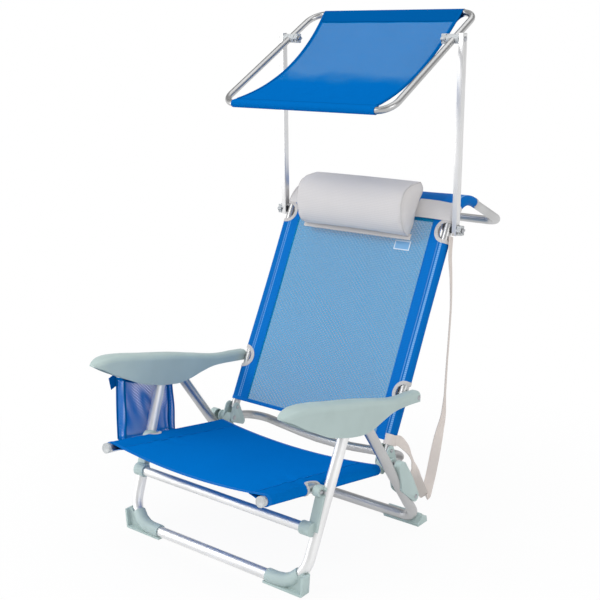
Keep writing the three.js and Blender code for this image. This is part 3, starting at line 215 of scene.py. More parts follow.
def make_aluminium(name, colour, roughness):
    """Anodised drawn tube: satin, with a tone that drifts a little along it from handling."""
    material, tree, shader = new_material(name)
    place = node(tree, "TexCoord", "Object")
    marks = node(tree, "TexNoise", Vector=place, Scale=9.0)
    grain = node(tree, "TexNoise", Vector=place, Scale=420.0)
    share = node(tree, "MapRange", i0=marks, i1=0.35, i2=0.65, i3=0, i4=1)
    tone = node(tree, "Mix", 2, COLOURS, i0=share, i6=shade(colour, 0.9), i7=colour)
    worn = node(tree, "MapRange", i0=marks, i1=0.35, i2=0.65, i3=roughness + 0.05, i4=roughness - 0.03)
    fine = node(tree, "MapRange", i0=grain, i1=0.35, i2=0.65, i3=0, i4=0.05)
    rough = node(tree, "Math", 0, ADD, i0=worn, i1=fine)
    wire(tree, shader, Metallic=1.0, Base_Color=tone, Roughness=rough)
    return material


def make_moulding(name, colour, roughness, grain_mm, strength):
    """Injection-moulded plastic: fine spark texture, slight tone drift, and sharp edges drawn paler as a
    painted highlight.
    """
    material, tree, shader = new_material(name)
    place = node(tree, "TexCoord", "Object")
    drift = node(tree, "TexNoise", Vector=place, Scale=14.0)
    grain = node(tree, "TexNoise", Vector=place, Scale=1 / (grain_mm * MM))
    share = node(tree, "MapRange", i0=drift, i1=0.35, i2=0.65, i3=0, i4=1)
    tone = node(tree, "Mix", 2, COLOURS, i0=share, i6=shade(colour, 0.94), i7=colour)
    # Painted highlight: edges that stand out are drawn paler, as if they caught the light
    edge = node(tree, "NewGeometry", "Pointiness")
    share = node(tree, "MapRange", i0=edge, i1=0.51, i2=0.57, i3=0, i4=0.8)
    tone = node(tree, "Mix", 2, COLOURS, i0=share, i6=tone, i7=shade(colour, 1.12))
    rough = node(tree, "MapRange", i0=grain, i1=0.3, i2=0.7, i3=roughness - 0.05, i4=roughness + 0.08)
    bump = node(tree, "Bump", Strength=strength, Distance=0.0003, Height=grain)
    wire(tree, shader, Base_Color=tone, Roughness=rough, Specular_IOR_Level=0.4, Normal=bump)
    return material


def weave_of(tree, uv, pitch_mm, twill):
    """Crossing yarns and a twill line, drawn coarser than the real millimetre pitch so that they show."""
    s, t, _ = node(tree, "SeparateXYZ", None, Vector=uv)
    warp, weft = wave(tree, s, pitch_mm * MM), wave(tree, t, pitch_mm * MM)
    cloth = node(tree, "Math", 0, LARGER, i0=warp, i1=weft)
    if not twill:
        return cloth
    drift = node(tree, "TexNoise", Vector=uv, Scale=5.0)
    slant = node(tree, "Math", 0, TIMES, i0=drift, i1=0.012)
    slant = node(tree, "Math", 0, TIMES_ADD, i0=t, i1=0.75, i2=slant)
    slant = node(tree, "Math", 0, TIMES_ADD, i0=s, i1=0.66, i2=slant)
    return node(tree, "Mix", i0=twill, i2=cloth, i3=wave(tree, slant, 7.6 * MM))


def make_mesh_cloth(name, colour, pitch_mm, gloss, open_share=0.0, twill=0.0, closed=None, ribs=None,
                    lines=()):
    """PVC-coated polyester mesh: saturated yarns, with light through the holes of a single layer.

    The open share is that of each of the sheet's two faces, and light passes both. Closed is a
    function that gives 1 where the mesh is open and 0 elsewhere. Ribs are (start, end, pitch,
    colour) of the double cloth of the sleeves, and lines are (axis, place, half width, colour)
    of seams and hems, and of painted highlights and painted seam shade."""
    material, tree, shader = new_material(name)
    uv = node(tree, "UVMap", 0, {"uv_map": "UVMap"})
    s, t, _ = node(tree, "SeparateXYZ", None, Vector=uv)
    cloth = weave_of(tree, uv, pitch_mm, twill)
    window = closed(tree, s, t, uv) if closed else 1.0
    height = node(tree, "MapRange", i0=cloth, i1=0.2, i2=0.95, i3=0, i4=1)
    tone = node(tree, "Mix", 2, COLOURS, i0=height, i6=shade(colour, 0.84), i7=shade(colour, 1.06))
    cloud = node(tree, "TexNoise", Vector=uv, Scale=7.0, Detail=3.0)
    cloud = node(tree, "MapRange", i0=cloud, i1=0.35, i2=0.75, i3=0, i4=0.3)
    tone = node(tree, "Mix", 2, COLOURS, i0=cloud, i6=tone, i7=shade(colour, 0.85))
    if ribs:
        start, end, pitch, band_colour = ribs
        if closed:
            tone = node(tree, "Mix", 2, COLOURS, i0=window, i6=band_colour, i7=tone)
        sleeve = node(tree, "Math", 0, {"operation": "SUBTRACT"}, i0=1.0, i1=within(tree, s, start))
        tone = node(tree, "Mix", 2, COLOURS, i0=sleeve, i6=tone, i7=band_colour)
        band = node(tree, "Math", 0, TIMES, i0=sleeve, i1=within(tree, s, end))
        ridge = node(tree, "Math", 0, TIMES, i0=band, i1=wave(tree, t, pitch))
        ridge = node(tree, "Math", 0, TIMES, i0=ridge, i1=0.45)
        tone = node(tree, "Mix", 2, COLOURS, i0=ridge, i6=tone, i7=shade(band_colour, 1.5))
    for axis, place, half_width, line_colour in lines:
        across, along = (s, t) if axis == "s" else (t, s)
        off = node(tree, "Math", 0, ADD, i0=across, i1=-place)
        on_line = within(tree, off, half_width, 0.8 * MM)
        if half_width < 4 * MM:
            thread = wave(tree, along, STITCH_PITCH)
            thread = node(tree, "MapRange", i0=thread, i1=0, i2=1, i3=0.45, i4=0.9)
            on_line = node(tree, "Math", 0, TIMES, i0=on_line, i1=thread)
        tone = node(tree, "Mix", 2, COLOURS, i0=on_line, i6=tone, i7=line_colour)
    if open_share:
        hole = node(tree, "MapRange", i0=cloth, i1=0, i2=1, i3=1.3 * open_share, i4=0.72 * open_share)
        hole = node(tree, "Math", 0, TIMES, i0=hole, i1=window)
        filled = node(tree, "Math", 0, {"operation": "SUBTRACT"}, i0=1.0, i1=hole)
        wire(tree, shader, Alpha=filled)
    bump = node(tree, "Bump", Strength=0.2, Distance=0.0005, Height=cloth)
    wire(tree, shader, Base_Color=tone, Roughness=0.5, Specular_IOR_Level=gloss, Normal=bump)
    return material


def canopy_glare_window(tree, s, t, uv):
    """Where the canopy's single layer lets light through and shows paler: the mesh is see-through, and this
    open area is a painted reflection on the sagging cloth.
    """
    drift = node(tree, "TexNoise", Vector=uv, Scale=9.0, Detail=3.0)
    way = node(tree, "Math", 0, TIMES_ADD, i0=drift, i1=0.12, i2=t)
    # Painted reflection: the open, paler area starts along a wavy line behind the front strip
    front = node(tree, "MapRange", i0=way, i1=CANOPY_GLARE_OPENS[0], i2=CANOPY_GLARE_OPENS[1], i3=0, i4=1)
    side, rear = within(tree, s, CANOPY_SIDE_HEM), within(tree, t, CANOPY_REAR_HEM)
    part = node(tree, "Math", 0, TIMES, i0=front, i1=side)
    return node(tree, "Math", 0, TIMES, i0=part, i1=rear)


def back_window(tree, s, t, uv):
    """The backrest's open mesh, up to where the cloth turns over the head rail."""
    lower = node(tree, "MapRange", i0=t, i1=BACK_OPEN_END[0], i2=BACK_OPEN_END[1], i3=1, i4=0)
    return node(tree, "Math", 0, TIMES, i0=within(tree, s, BACK_SEAM, 1 * MM), i1=lower)


def make_woven(name, colour, pitch_mm, rib):
    """Plain-woven polyester: fine ribs across, softer ones along, matt with a little sheen."""
    material, tree, shader = new_material(name)
    place = node(tree, "TexCoord", "Object")
    x, y, z = node(tree, "SeparateXYZ", None, Vector=place)
    rise = node(tree, "Math", 0, TIMES_ADD, i0=y, i1=0.5, i2=z)
    level = node(tree, "Math", 0, TIMES, i0=wave(tree, rise, pitch_mm * MM), i1=rib)
    height = node(tree, "Math", 0, TIMES_ADD, i0=wave(tree, x, pitch_mm * MM), i1=0.35, i2=level)
    share = node(tree, "MapRange", i0=height, i1=0, i2=0.35 + rib, i3=0, i4=1)
    tone = node(tree, "Mix", 2, COLOURS, i0=share, i6=shade(colour, 0.9), i7=colour)
    stain = node(tree, "TexNoise", Vector=place, Scale=18.0, Detail=4.0)
    stain = node(tree, "MapRange", i0=stain, i1=0.35, i2=0.75, i3=0, i4=0.35)
    tone = node(tree, "Mix", 2, COLOURS, i0=stain, i6=tone, i7=shade(colour, 0.9))
    bump = node(tree, "Bump", Strength=0.3, Distance=0.0005, Height=height)
    wire(tree, shader, Base_Color=tone, Roughness=0.9, Specular_IOR_Level=0.15, Normal=bump)
    return material


def make_net(name, colour, pitch_mm):
    """Knitted polyester net: diamond holes between cords, drawn twice as coarse as real to show."""
    material, tree, shader = new_material(name)
    uv = node(tree, "UVMap", 0, {"uv_map": "UVMap"})
    s, t, _ = node(tree, "SeparateXYZ", None, Vector=uv)
    up = node(tree, "Math", 0, ADD, i0=s, i1=t)
    down = node(tree, "Math", 0, TIMES_ADD, i0=t, i1=-1, i2=s)
    rising, falling = wave(tree, up, pitch_mm * MM), wave(tree, down, pitch_mm * MM)
    hole = node(tree, "Math", 0, TIMES, i0=rising, i1=falling)
    cord = node(tree, "MapRange", i0=hole, i1=0.15, i2=0.25, i3=1, i4=0)
    tone = node(tree, "Mix", 2, COLOURS, i0=hole, i6=shade(colour, 0.7), i7=shade(colour, 1.1))
    bump = node(tree, "Bump", Strength=0.4, Distance=0.0008, Height=hole)
    wire(tree, shader, Base_Color=tone, Alpha=cord, Roughness=0.8, Specular_IOR_Level=0.1, Normal=bump)
    return material


def make_label(name, border, field):
    """Woven label: a pale selvedge round a plain field of fine ribs."""
    material, tree, shader = new_material(name)
    uv = node(tree, "UVMap", 0, {"uv_map": "UVMap"})
    s, t, _ = node(tree, "SeparateXYZ", None, Vector=uv)
    inside = node(tree, "Math", 0, TIMES, i0=within(tree, s, LABEL_FIELD[0]),
                  i1=within(tree, t, LABEL_FIELD[1]))
    ridge = wave(tree, t, 2.4 * MM)
    tone = node(tree, "Mix", 2, COLOURS, i0=ridge, i6=shade(field, 0.85), i7=shade(field, 1.1))
    tone = node(tree, "Mix", 2, COLOURS, i0=inside, i6=border, i7=tone)
    wire(tree, shader, Base_Color=tone, Roughness=0.7, Specular_IOR_Level=0.1)
    return material


def make_clear_grey(name, colour):
    """Pale natural nylon: a little light gets in, with a soft gloss."""
    material, tree, shader = new_material(name)
    cloud = node(tree, "TexNoise", Vector=node(tree, "TexCoord", "Object"), Scale=60.0)
    tone = node(tree, "Mix", 2, COLOURS, i0=cloud, i6=shade(colour, 0.86), i7=colour)
    rough = node(tree, "MapRange", i0=cloud, i1=0, i2=1, i3=0.28, i4=0.4)
    wire(tree, shader, Base_Color=tone, Roughness=rough, Subsurface_Weight=0.15,
         Subsurface_Radius=(0.003, 0.003, 0.003))
    return material


# ---- Modelling helpers ----


def nothing_selected():
    """Object mode with nothing selected."""
    if bpy.context.object and bpy.context.object.mode != "OBJECT":
        bpy.ops.object.mode_set(mode="OBJECT")
    bpy.ops.object.select_all(action="DESELECT")


def alone(piece):
    """Makes one piece the only selected and active one."""
    nothing_selected()
    piece.select_set(True)
    bpy.context.view_layer.objects.active = piece


def edit_all():
    """Edit mode with the active piece selected all over."""
    bpy.ops.object.mode_set(mode="EDIT")
    bpy.ops.mesh.select_all(action="SELECT")


def apply_modifier(piece, kind, **settings):
    """Adds a modifier with its settings and applies it."""
    alone(piece)
    modifier = piece.modifiers.new(kind.title(), kind)
    for key, value in settings.items():
        setattr(modifier, key, value)
    bpy.ops.object.modifier_apply(modifier=modifier.name)


def smooth(piece, degrees):
    """Smooth shading, with edges sharper than an angle kept."""
    alone(piece)
    bpy.ops.object.shade_smooth_by_angle(angle=radians(degrees))


def face_outwards(piece):
    """Merges doubles and turns all faces outwards."""
    alone(piece)
    edit_all()
    bpy.ops.mesh.remove_doubles(threshold=0.00001)
    bpy.ops.mesh.normals_make_consistent(inside=False)
    bpy.ops.object.mode_set(mode="OBJECT")


def finish_piece(piece, name, finish, body, replaced=()):
    """Names a piece, gives it its finish, its body and its slot, and hides the CAD nodes that it stands for.
    """
    nothing_selected()
    piece.name = name
    piece.data.name = name
    piece.data.materials.clear()
    piece.data.materials.append(Finishes.get(finish))
    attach(piece, body)
    if replaced:
        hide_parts(*replaced)
    return piece


def thicken(piece, thickness, degrees=60, offset=0):
    """Gives a sheet its thickness in metres and smooths it."""
    apply_modifier(piece, "SOLIDIFY", thickness=thickness, offset=offset)
    smooth(piece, degrees)
    return piece


def bevel(piece, width, degrees, segments=3, **settings):
    """Rounds the edges sharper than an angle, by a width in millimetres."""
    apply_modifier(piece, "BEVEL", width=width * MM, segments=segments, limit_method="ANGLE",
                   angle_limit=radians(degrees), **settings)


def settle():
    """Puts the active piece's place, turn and size into its mesh."""
    bpy.ops.object.transform_apply(location=True, rotation=True, scale=True)


def select_faces(piece, chosen):
    """Edit mode with only those faces selected that a test picks by face and map."""
    alone(piece)
    bpy.ops.object.mode_set(mode="EDIT")
    bpy.ops.mesh.select_all(action="DESELECT")
    edit = bmesh.from_edit_mesh(piece.data)
    layer = edit.loops.layers.uv.active
    for face in edit.faces:
        face.select = chosen(face, layer)
    bmesh.update_edit_mesh(piece.data)


def fill_rim(piece, on_rim):
    """Closes an open rim with one face; a test picks its edges by the places of their ends."""
    alone(piece)
    bpy.ops.object.mode_set(mode="EDIT")
    bpy.ops.mesh.select_all(action="DESELECT")
    edit = bmesh.from_edit_mesh(piece.data)
    for edge in edit.edges:
        edge.select_set(edge.is_boundary and on_rim([v.co for v in edge.verts]))
    bmesh.update_edit_mesh(piece.data)
    bpy.ops.mesh.edge_face_add()
    bpy.ops.object.mode_set(mode="OBJECT")


def own_copy():
    """A copy of the selected piece with its own mesh, tied to no body."""
    bpy.ops.object.duplicate()
    copy = bpy.context.object
    copy.parent = None
    for key in [key for key in copy.keys() if key.startswith("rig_")]:
        del copy[key]
    return copy


def join_pieces(pieces):
    """Several meshes joined into the first."""
    nothing_selected()
    for piece in pieces:
        piece.select_set(True)
    bpy.context.view_layer.objects.active = pieces[0]
    if len(pieces) > 1:
        bpy.ops.object.join()
    return bpy.context.object


def mirror_copy(piece):
    """A copy of a piece mirrored to the other side of the chair, with its own mesh."""
    alone(piece)
    copy = own_copy()
    for vertex in copy.data.vertices:
        vertex.co.x = 2 * SHIFT.x - vertex.co.x
    edit_all()
    bpy.ops.mesh.flip_normals()
    bpy.ops.object.mode_set(mode="OBJECT")
    return copy


def flip_point(point):
    """The mirror image of a point in millimetres."""
    return (-point[0], point[1], point[2])


def both_sides(start, corners):
    """Start, corners and end of a route that runs down the right side and up the left one."""
    left = [(flip_point(p), r) for p, r in reversed(corners)]
    return start, corners + left, flip_point(start)


def bend_of(previous, corner, following, radius):
    """First point, centre, axis, angle and last point of a bend."""
    inward = (corner - previous).normalized()
    outward = (following - corner).normalized()
    turn = inward.angle(outward)
    tangent = radius * tan(turn / 2)
    first = corner - inward * tangent
    centre = first + (outward - inward * cos(turn)).normalized() * radius
    return first, centre, inward.cross(outward).normalized(), turn, corner + outward * tangent


TUBE_SIDES = 32
BEND_STEP = radians(6)


def draw_tube(start, corners, end, diameter, wall):
    """A bent tube: a circle extruded along each straight run and spun round each bend."""
    points = [at(*start)] + [at(*p) for p, _ in corners] + [at(*end)]
    heading = (points[1] - points[0]).normalized()
    nothing_selected()
    bpy.ops.mesh.primitive_circle_add(vertices=TUBE_SIDES, radius=diameter / 2, location=points[0],
                                      rotation=heading.to_track_quat("Z", "Y").to_euler())
    piece = bpy.context.object
    settle()
    edit_all()
    here = points[0]
    for i, (_, radius) in enumerate(corners):
        first, centre, axis, turn, last = bend_of(*points[i:i + 3], radius * MM)
        bpy.ops.mesh.extrude_region_move(TRANSFORM_OT_translate={"value": first - here})
        # The spin operator turns the other way round its axis
        bpy.ops.mesh.spin(steps=max(3, ceil(turn / BEND_STEP)), angle=turn, center=centre, axis=-axis)
        here = last
    bpy.ops.mesh.extrude_region_move(TRANSFORM_OT_translate={"value": points[-1] - here})
    bpy.ops.object.mode_set(mode="OBJECT")
    face_outwards(piece)
    return thicken(piece, wall, 40, -1)


def cloth_grid(name, columns, rows, place):
    """A grid of cloth laid by a function of its two shares, which also gives the cloth's own map."""
    nothing_selected()
    bpy.ops.mesh.primitive_grid_add(x_subdivisions=columns, y_subdivisions=rows, size=1)
    piece = bpy.context.object
    piece.name = name
    spots = {}
    for vertex in piece.data.vertices:
        u, v = vertex.co.x + 0.5, vertex.co.y + 0.5
        point, mark = place(u, v)
        spots[vertex.index] = mark
        vertex.co = point
    layer = piece.data.uv_layers["UVMap"]
    for corner in piece.data.loops:
        layer.data[corner.index].uv = spots[corner.vertex_index]
    return piece


def soften(cad_node, width):
    """A copy of a CAD node with its edges rounded, standing for the node."""
    nothing_selected()
    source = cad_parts[cad_node]
    source.hide_viewport = False
    source.select_set(True)
    bpy.context.view_layer.objects.active = source
    piece = own_copy()
    edit_all()
    bpy.ops.mesh.customdata_custom_splitnormals_clear()
    bpy.ops.mesh.remove_doubles(threshold=0.00002)
    bpy.ops.mesh.dissolve_limited(angle_limit=radians(3))
    bpy.ops.object.mode_set(mode="OBJECT")
    bevel(piece, width, 32, 2, use_clamp_overlap=True, harden_normals=False)
    apply_modifier(piece, "TRIANGULATE")
    smooth(piece, 35)
    return piece


class Finishes:
    """The chair's materials, made once from the colour settings."""

    made = {}

    @classmethod
    def get(cls, key):
        """The material of one finish."""
        if not cls.made:
            cls.make(bpy.context.scene.beach_chair_colours)
        return cls.made[key]

    @classmethod
    def make(cls, colours):
        """Makes all finishes."""
        blue, grey, metal = tuple(colours.mesh_blue), tuple(colours.webbing_grey), tuple(colours.aluminium)
        # The pale blue is that of the painted highlights on the back's sleeves; the darker blue is that of
        # the painted shade in the seat's seams
        pale, seam_shade = linear("#7fb4e6"), shade(blue, 0.45)
        # The seat's sleeves are plain, so their ribs end where they start
        seat_ribs = (SEAT_SEAM, SEAT_SEAM + 0.1 * MM, 4 * MM, shade(blue, 0.9))
        # Painted shade: a dark line along each seat seam, where its groove lies in shade
        seat_seam_shade_lines = [("s", side * SEAT_SEAM, 0.0016, seam_shade) for side in (-1, 1)]
        # Painted highlights: pale lines along the crests of the sleeves over the rails, with a second, fine
        # one on the left and a broad one on the right
        back_ribs = (0.202, 0.226, 3.8 * MM, shade(blue, 0.86))
        back_highlight_lines = [("s", -0.2295, 0.0016, pale), ("s", 0.2295, 0.0014, pale),
                      ("s", -0.2245, 0.0009, pale), ("s", 0.2385, 0.003, pale)]
        # The canopy has no sleeves: its ribs lie past its edges and only give their darker colour to the
        # hems and to the cloth outside the painted reflection
        canopy_ribs = (0.4, 0.5, 4 * MM, shade(blue, 0.8))
        canopy_lines = [("t", 0.4975, 0.0515, shade(blue, 0.56)), ("t", 0.4475, 0.0014, shade(blue, 0.3)),
                        ("t", 0.063, 0.0016, shade(blue, 0.4))]
        cls.made = {
            "aluminium": make_aluminium("anodised_aluminium_tube", metal, 0.38),
            # Lit and shaded copies of one aluminium: the canopy loop, the rear legs and the backrest are
            # darker as painted shade, the front legs paler as painted highlight
            "loop": make_aluminium("anodised_aluminium_loop_painted_shade", shade(metal, 0.66), 0.27),
            "front": make_aluminium("anodised_aluminium_painted_highlight", shade(metal, 1.14), 0.42),
            "rear": make_aluminium("anodised_aluminium_painted_shade", shade(metal, 0.74), 0.38),
            "steel": make_aluminium("plated_steel", tuple(colours.steel), 0.34),
            "moulding": make_moulding("moulded_polypropylene", tuple(colours.moulding), 0.46, 0.9, 0.1),
            "rubber": make_moulding("black_rubber", tuple(colours.rubber), 0.6, 0.8, 0.1),
            "clear": make_clear_grey("natural_nylon", tuple(colours.clear_grey)),
            "seat": make_mesh_cloth("coated_mesh_seat", blue, 4.4, 0.0, ribs=seat_ribs, lines=seat_seam_shade_lines),
            "back": make_mesh_cloth("coated_mesh_open", tuple(colours.open_blue), 4.4, 0.03, 0.44, 0.3,
                                    closed=back_window, ribs=back_ribs, lines=back_highlight_lines),
            "band": make_mesh_cloth("coated_mesh_double", blue, 3.6, 0.05),
            "canopy": make_mesh_cloth("coated_mesh_canopy", tuple(colours.canopy_glare_blue), 4.0, 0.0, 0.29,
                                      closed=canopy_glare_window, ribs=canopy_ribs, lines=canopy_lines),
            "hem": make_mesh_cloth("coated_mesh_hem", shade(blue, 0.62), 3.6, 0.0),
            "thread": make_mesh_cloth("polyester_thread", shade(blue, 1.25), 2.0, 0.1),
            "strap": make_woven("polyester_webbing", tuple(colours.strap_grey), 2.4, 0.6),
            "woven": make_woven("plain_woven_polyester", grey, 4.2, 0.7),
            "tape": make_woven("binding_tape", shade(grey, 0.86), 2.4, 0.6),
            "net": make_net("knitted_net", shade(blue, 1.6), 7.6),
            "label": make_label("woven_label", linear("#d5e4f2"), linear("#7fb1dd")),
        }


# ---- Routes of the frame ----

LEG_BAR_Z = 15.5
ARM_FRONT_PIVOT_Z = 362.0
SEAT_RAIL_ENDS = (-452, -46)
HEAD_BEND_Z, HEAD_BEND_RADIUS = 787, 85


def front_leg_at(z):
    """The axis of the right front leg at a height."""
    share = (z - LEG_BAR_Z) / (ARM_FRONT_PIVOT_Z - LEG_BAR_Z)
    return (259 + 20 * share, -359 + 0.396 * (z - LEG_BAR_Z), z)


def rear_leg_at(z):
    """The axis of the right rear leg at a height."""
    return (281, 71 - 0.735 * (z - LEG_BAR_Z), z)


def seat_rail_at(y):
    """The axis of the right seat rail."""
    share = (y - SEAT_RAIL_ENDS[0]) / (SEAT_RAIL_ENDS[1] - SEAT_RAIL_ENDS[0])
    return (230 + 10 * share, y, 217 - 0.168 * (y + 299))


def back_rail_at(z):
    """The axis of the right backrest rail below its bend."""
    return (RAIL_HALF, 58.5 + BACK_SLOPE * (z - ARM_REAR_PIVOT[1]), z)


def frame_routes():
    """Name, body, start, corners, end, tube setting and nodes of each bent tube."""
    head = (back_rail_at(HEAD_BEND_Z), HEAD_BEND_RADIUS)
    bar = ((RAIL_HALF, *TOWEL_BAR), 40)
    yield "front_leg_tube", "front_legs", both_sides(front_leg_at(375), [(front_leg_at(LEG_BAR_Z), 70)]), \
        "leg_tube", ["front_leg_frame"]
    yield "rear_leg_tube", "rear_legs", both_sides(rear_leg_at(344), [(rear_leg_at(LEG_BAR_Z), 48)]), \
        "leg_tube", ["rear_leg_frame"]
    yield "stretcher_tube", "front_legs", ((-254, -330, 141), [], (254, -330, 141)), \
        "rail_tube", ["front_stretcher"]
    for side, word in SIDES:
        ends = [(side * x, y, z) for x, y, z in map(seat_rail_at, SEAT_RAIL_ENDS)]
        yield f"seat_side_tube_{word}", "seat", (ends[0], [], ends[1]), "rail_tube", [f"seat_rail_{word}"]
    bow = [((RAIL_HALF, 86, 164), 50), ((0, 74, 145), 900), ((-RAIL_HALF, 86, 164), 50)]
    yield "lumbar_bow_tube", "backrest", ((RAIL_HALF, 12, 182), bow, (-RAIL_HALF, 12, 182)), \
        "rail_tube", ["bow_tube"]
    yield "back_loop_tube", "backrest", both_sides(back_rail_at(207), [head, bar]), \
        "rail_tube", ["backrest_frame"]
    corners = [((s * 242, *p), 40) for s, p in
               ((1, CANOPY_REAR), (1, CANOPY_FRONT), (-1, CANOPY_FRONT), (-1, CANOPY_REAR))]
    yield "canopy_loop_tube", "canopy", ((0.2, *CANOPY_REAR), corners, (-0.2, *CANOPY_REAR)), \
        "canopy_tube", ["canopy_frame"]


# ---- Slings ----


def walk(points, count):
    """Points at even steps along a polyline, with the length walked at each."""
    points = [Vector(p) for p in points]
    sums = [0.0]
    for a, b in zip(points, points[1:]):
        sums.append(sums[-1] + (b - a).length)
    spots = []
    for i in range(count + 1):
        goal = sums[-1] * i / count
        k = min(int(np.searchsorted(sums, goal, side="right")) - 1, len(points) - 2)
        share = (goal - sums[k]) / (sums[k + 1] - sums[k])
        spots.append((points[k].lerp(points[k + 1], share), goal))
    return spots


def bent_points(start, corners, end, step=5.0):
    """The centreline of a bent tube as a polyline in millimetres."""
    ends = [Vector(start)] + [Vector(p) for p, _ in corners] + [Vector(end)]
    points = [ends[0]]
    for i, (_, radius) in enumerate(corners):
        first, centre, axis, turn, last = bend_of(*ends[i:i + 3], radius)
        steps = ceil(turn / radians(step))
        arm = first - centre
        side = axis.cross(arm)
        for k in range(steps + 1):
            angle = turn * k / steps
            points.append(centre + arm * cos(angle) + side * sin(angle))
    points.append(ends[-1])
    return points


class Sling:
    """Cloth sewn into sleeves round two rails, with a stretched panel between them."""

    def __init__(self, rail, flap, radius, sag):
        self.rail = rail
        self.flap = flap
        self.radius = radius
        self.sag = sag
        self.length = sum((b - a).length for a, b in zip(rail, rail[1:]))
        self.wrap = pi * radius

    def station(self, t):
        """Rail centre and the normal towards the sitter at a length along the rail."""
        left = min(max(t, 0.0), self.length)
        for a, b in zip(self.rail, self.rail[1:]):
            span = (b - a).length
            if left <= span or b is self.rail[-1]:
                along = (b - a).normalized()
                return a + along * min(left, span), Vector((0, -along.z, along.y)).normalized()
            left -= span
        return self.rail[-1], Vector((0, 0, 1))

    def half_length(self, centre):
        """Length of cloth from the middle of the panel to the end of the flap."""
        return centre.x + self.wrap + self.flap

    def place(self, s, t, lift=0.0):
        """The point at a length s across from the middle and t along, in millimetres."""
        centre, normal = self.station(t)
        half = centre.x
        side = 1 if s >= 0 else -1
        reach = abs(s)
        r = self.radius
        share = t / self.length
        sag = self.sag(share)
        if reach <= half:
            x = reach
            n = r - sag * (1 - (x / half) ** 2) + lift
            return Vector((side * x, centre.y, centre.z)) + normal * n
        if reach <= half + self.wrap:
            angle = (reach - half) / r
            rr = r + lift
            x = side * (half + rr * sin(angle))
            return Vector((x, centre.y, centre.z)) + normal * (rr * cos(angle))
        # The flap, sewn to the back of the panel: from behind the rail it closes up to the cloth
        go = (reach - half - self.wrap) / self.flap
        x = half - go * self.flap
        front = r - sag * (1 - (x / half) ** 2)
        n = -r + (front - 2.2 + r) * go ** 0.75 - lift
        return Vector((side * x, centre.y, centre.z)) + normal * n


def notch_distance(s, t, notch):
    """Signed distance in millimetres to a stadium-shaped cut-out of the cloth; inside is negative."""
    centre_s, centre_t, half_s, half_t = notch
    ds = max(abs(abs(s) - centre_s) - (half_s - half_t), 0.0)
    dt = t - centre_t
    return sqrt(ds * ds + dt * dt) - half_t


RIM_REACH = 4.0  # how near a cut-out's rim a grid point is drawn onto it


def sew_sling(sling, columns, rows, notches, thickness, name, wobble):
    """The sling's cloth with its cut-outs, as one sheet of even thickness."""
    half = sling.half_length(sling.rail[0])
    marks = {}

    def place(u, v):
        s = (u - 0.5) * 2 * half
        t = v * sling.length
        for notch in notches:
            d = notch_distance(s, t, notch)
            if abs(d) < RIM_REACH:
                step = 0.01
                gs = (notch_distance(s + step, t, notch) - d) / step
                gt = (notch_distance(s, t + step, notch) - d) / step
                s, t = s - d * gs, t - d * gt
        point = sling.place(s, t, wobble(s, t))
        return at(*point), (s * MM, t * MM)

    def cut_out(face, layer):
        s = sum(c[layer].uv.x for c in face.loops) / len(face.loops) / MM
        t = sum(c[layer].uv.y for c in face.loops) / len(face.loops) / MM
        return any(notch_distance(s, t, notch) < 0 for notch in notches)

    piece = cloth_grid(name, columns, rows, place)
    select_faces(piece, cut_out)
    bpy.ops.mesh.delete(type="FACE")
    bpy.ops.object.mode_set(mode="OBJECT")
    return thicken(piece, thickness)


def bead(points, radius, closed=False, fine=2):
    """A cord or piping along points in millimetres, as a mesh."""
    curve = bpy.data.curves.new("bead", "CURVE")
    curve.dimensions = "3D"
    curve.bevel_depth = radius * MM
    curve.bevel_resolution = fine
    curve.use_fill_caps = True
    line = curve.splines.new("POLY")
    line.points.add(len(points) - 1)
    for spot, point in zip(line.points, points):
        spot.co = (*at(*point), 1.0)
    line.use_cyclic_u = closed
    piece = bpy.data.objects.new("bead", curve)
    bpy.context.scene.collection.objects.link(piece)
    alone(piece)
    bpy.ops.object.convert(target="MESH")
    piece = bpy.context.object
    smooth(piece, 70)
    return piece


def ribbon(points, across_at, width, thickness, rows):
    """A flat band along points in millimetres; across_at gives the direction of its width."""
    count = len(points) - 1
    sums = [0.0]
    for a, b in zip(points, points[1:]):
        sums.append(sums[-1] + (Vector(b) - Vector(a)).length)

    def place(u, v):
        i = min(round(v * count), count)
        offset = (u - 0.5) * width
        return at(*(Vector(points[i]) + across_at(i) * offset)), (offset * MM, sums[i] * MM)

    return thicken(cloth_grid("ribbon", rows, count, place), thickness * MM, 50)


def spline_through(points, steps):
    """A smooth curve through points, by Catmull-Rom."""
    p = [Vector(q) for q in points]
    p = [p[0] * 2 - p[1]] + p + [p[-1] * 2 - p[-2]]
    result = []
    for i in range(1, len(p) - 2):
        for k in range(steps):
            t = k / steps
            a, b, c, d = p[i - 1], p[i], p[i + 1], p[i + 2]
            result.append(0.5 * ((2 * b) + (c - a) * t + (2 * a - 5 * b + 4 * c - d) * t * t
                                 + (3 * b - a - 3 * c + d) * t ** 3))
    result.append(p[-2])
    return result


def eased(stations, s):
    """A value between listed stations, with smooth slopes."""
    if s <= stations[0][0]:
        return stations[0][1]
    if s >= stations[-1][0]:
        return stations[-1][1]
    i = next(k for k, (place, _) in enumerate(stations) if place > s) - 1
    last = len(stations) - 1

    def slope(a, b):
        return (stations[b][1] - stations[a][1]) / (stations[b][0] - stations[a][0])

    width = stations[i + 1][0] - stations[i][0]
    t = (s - stations[i][0]) / width
    first, second = slope(max(i - 1, 0), i + 1), slope(i, min(i + 2, last))
    ends = stations[i][1] * (1 + 2 * t) * (1 - t) ** 2 + stations[i + 1][1] * t * t * (3 - 2 * t)
    return ends + first * width * t * (1 - t) ** 2 + second * width * t * t * (t - 1)


# ---- Operators: stage and straps ----


PHOTO_SIZE = 600.0
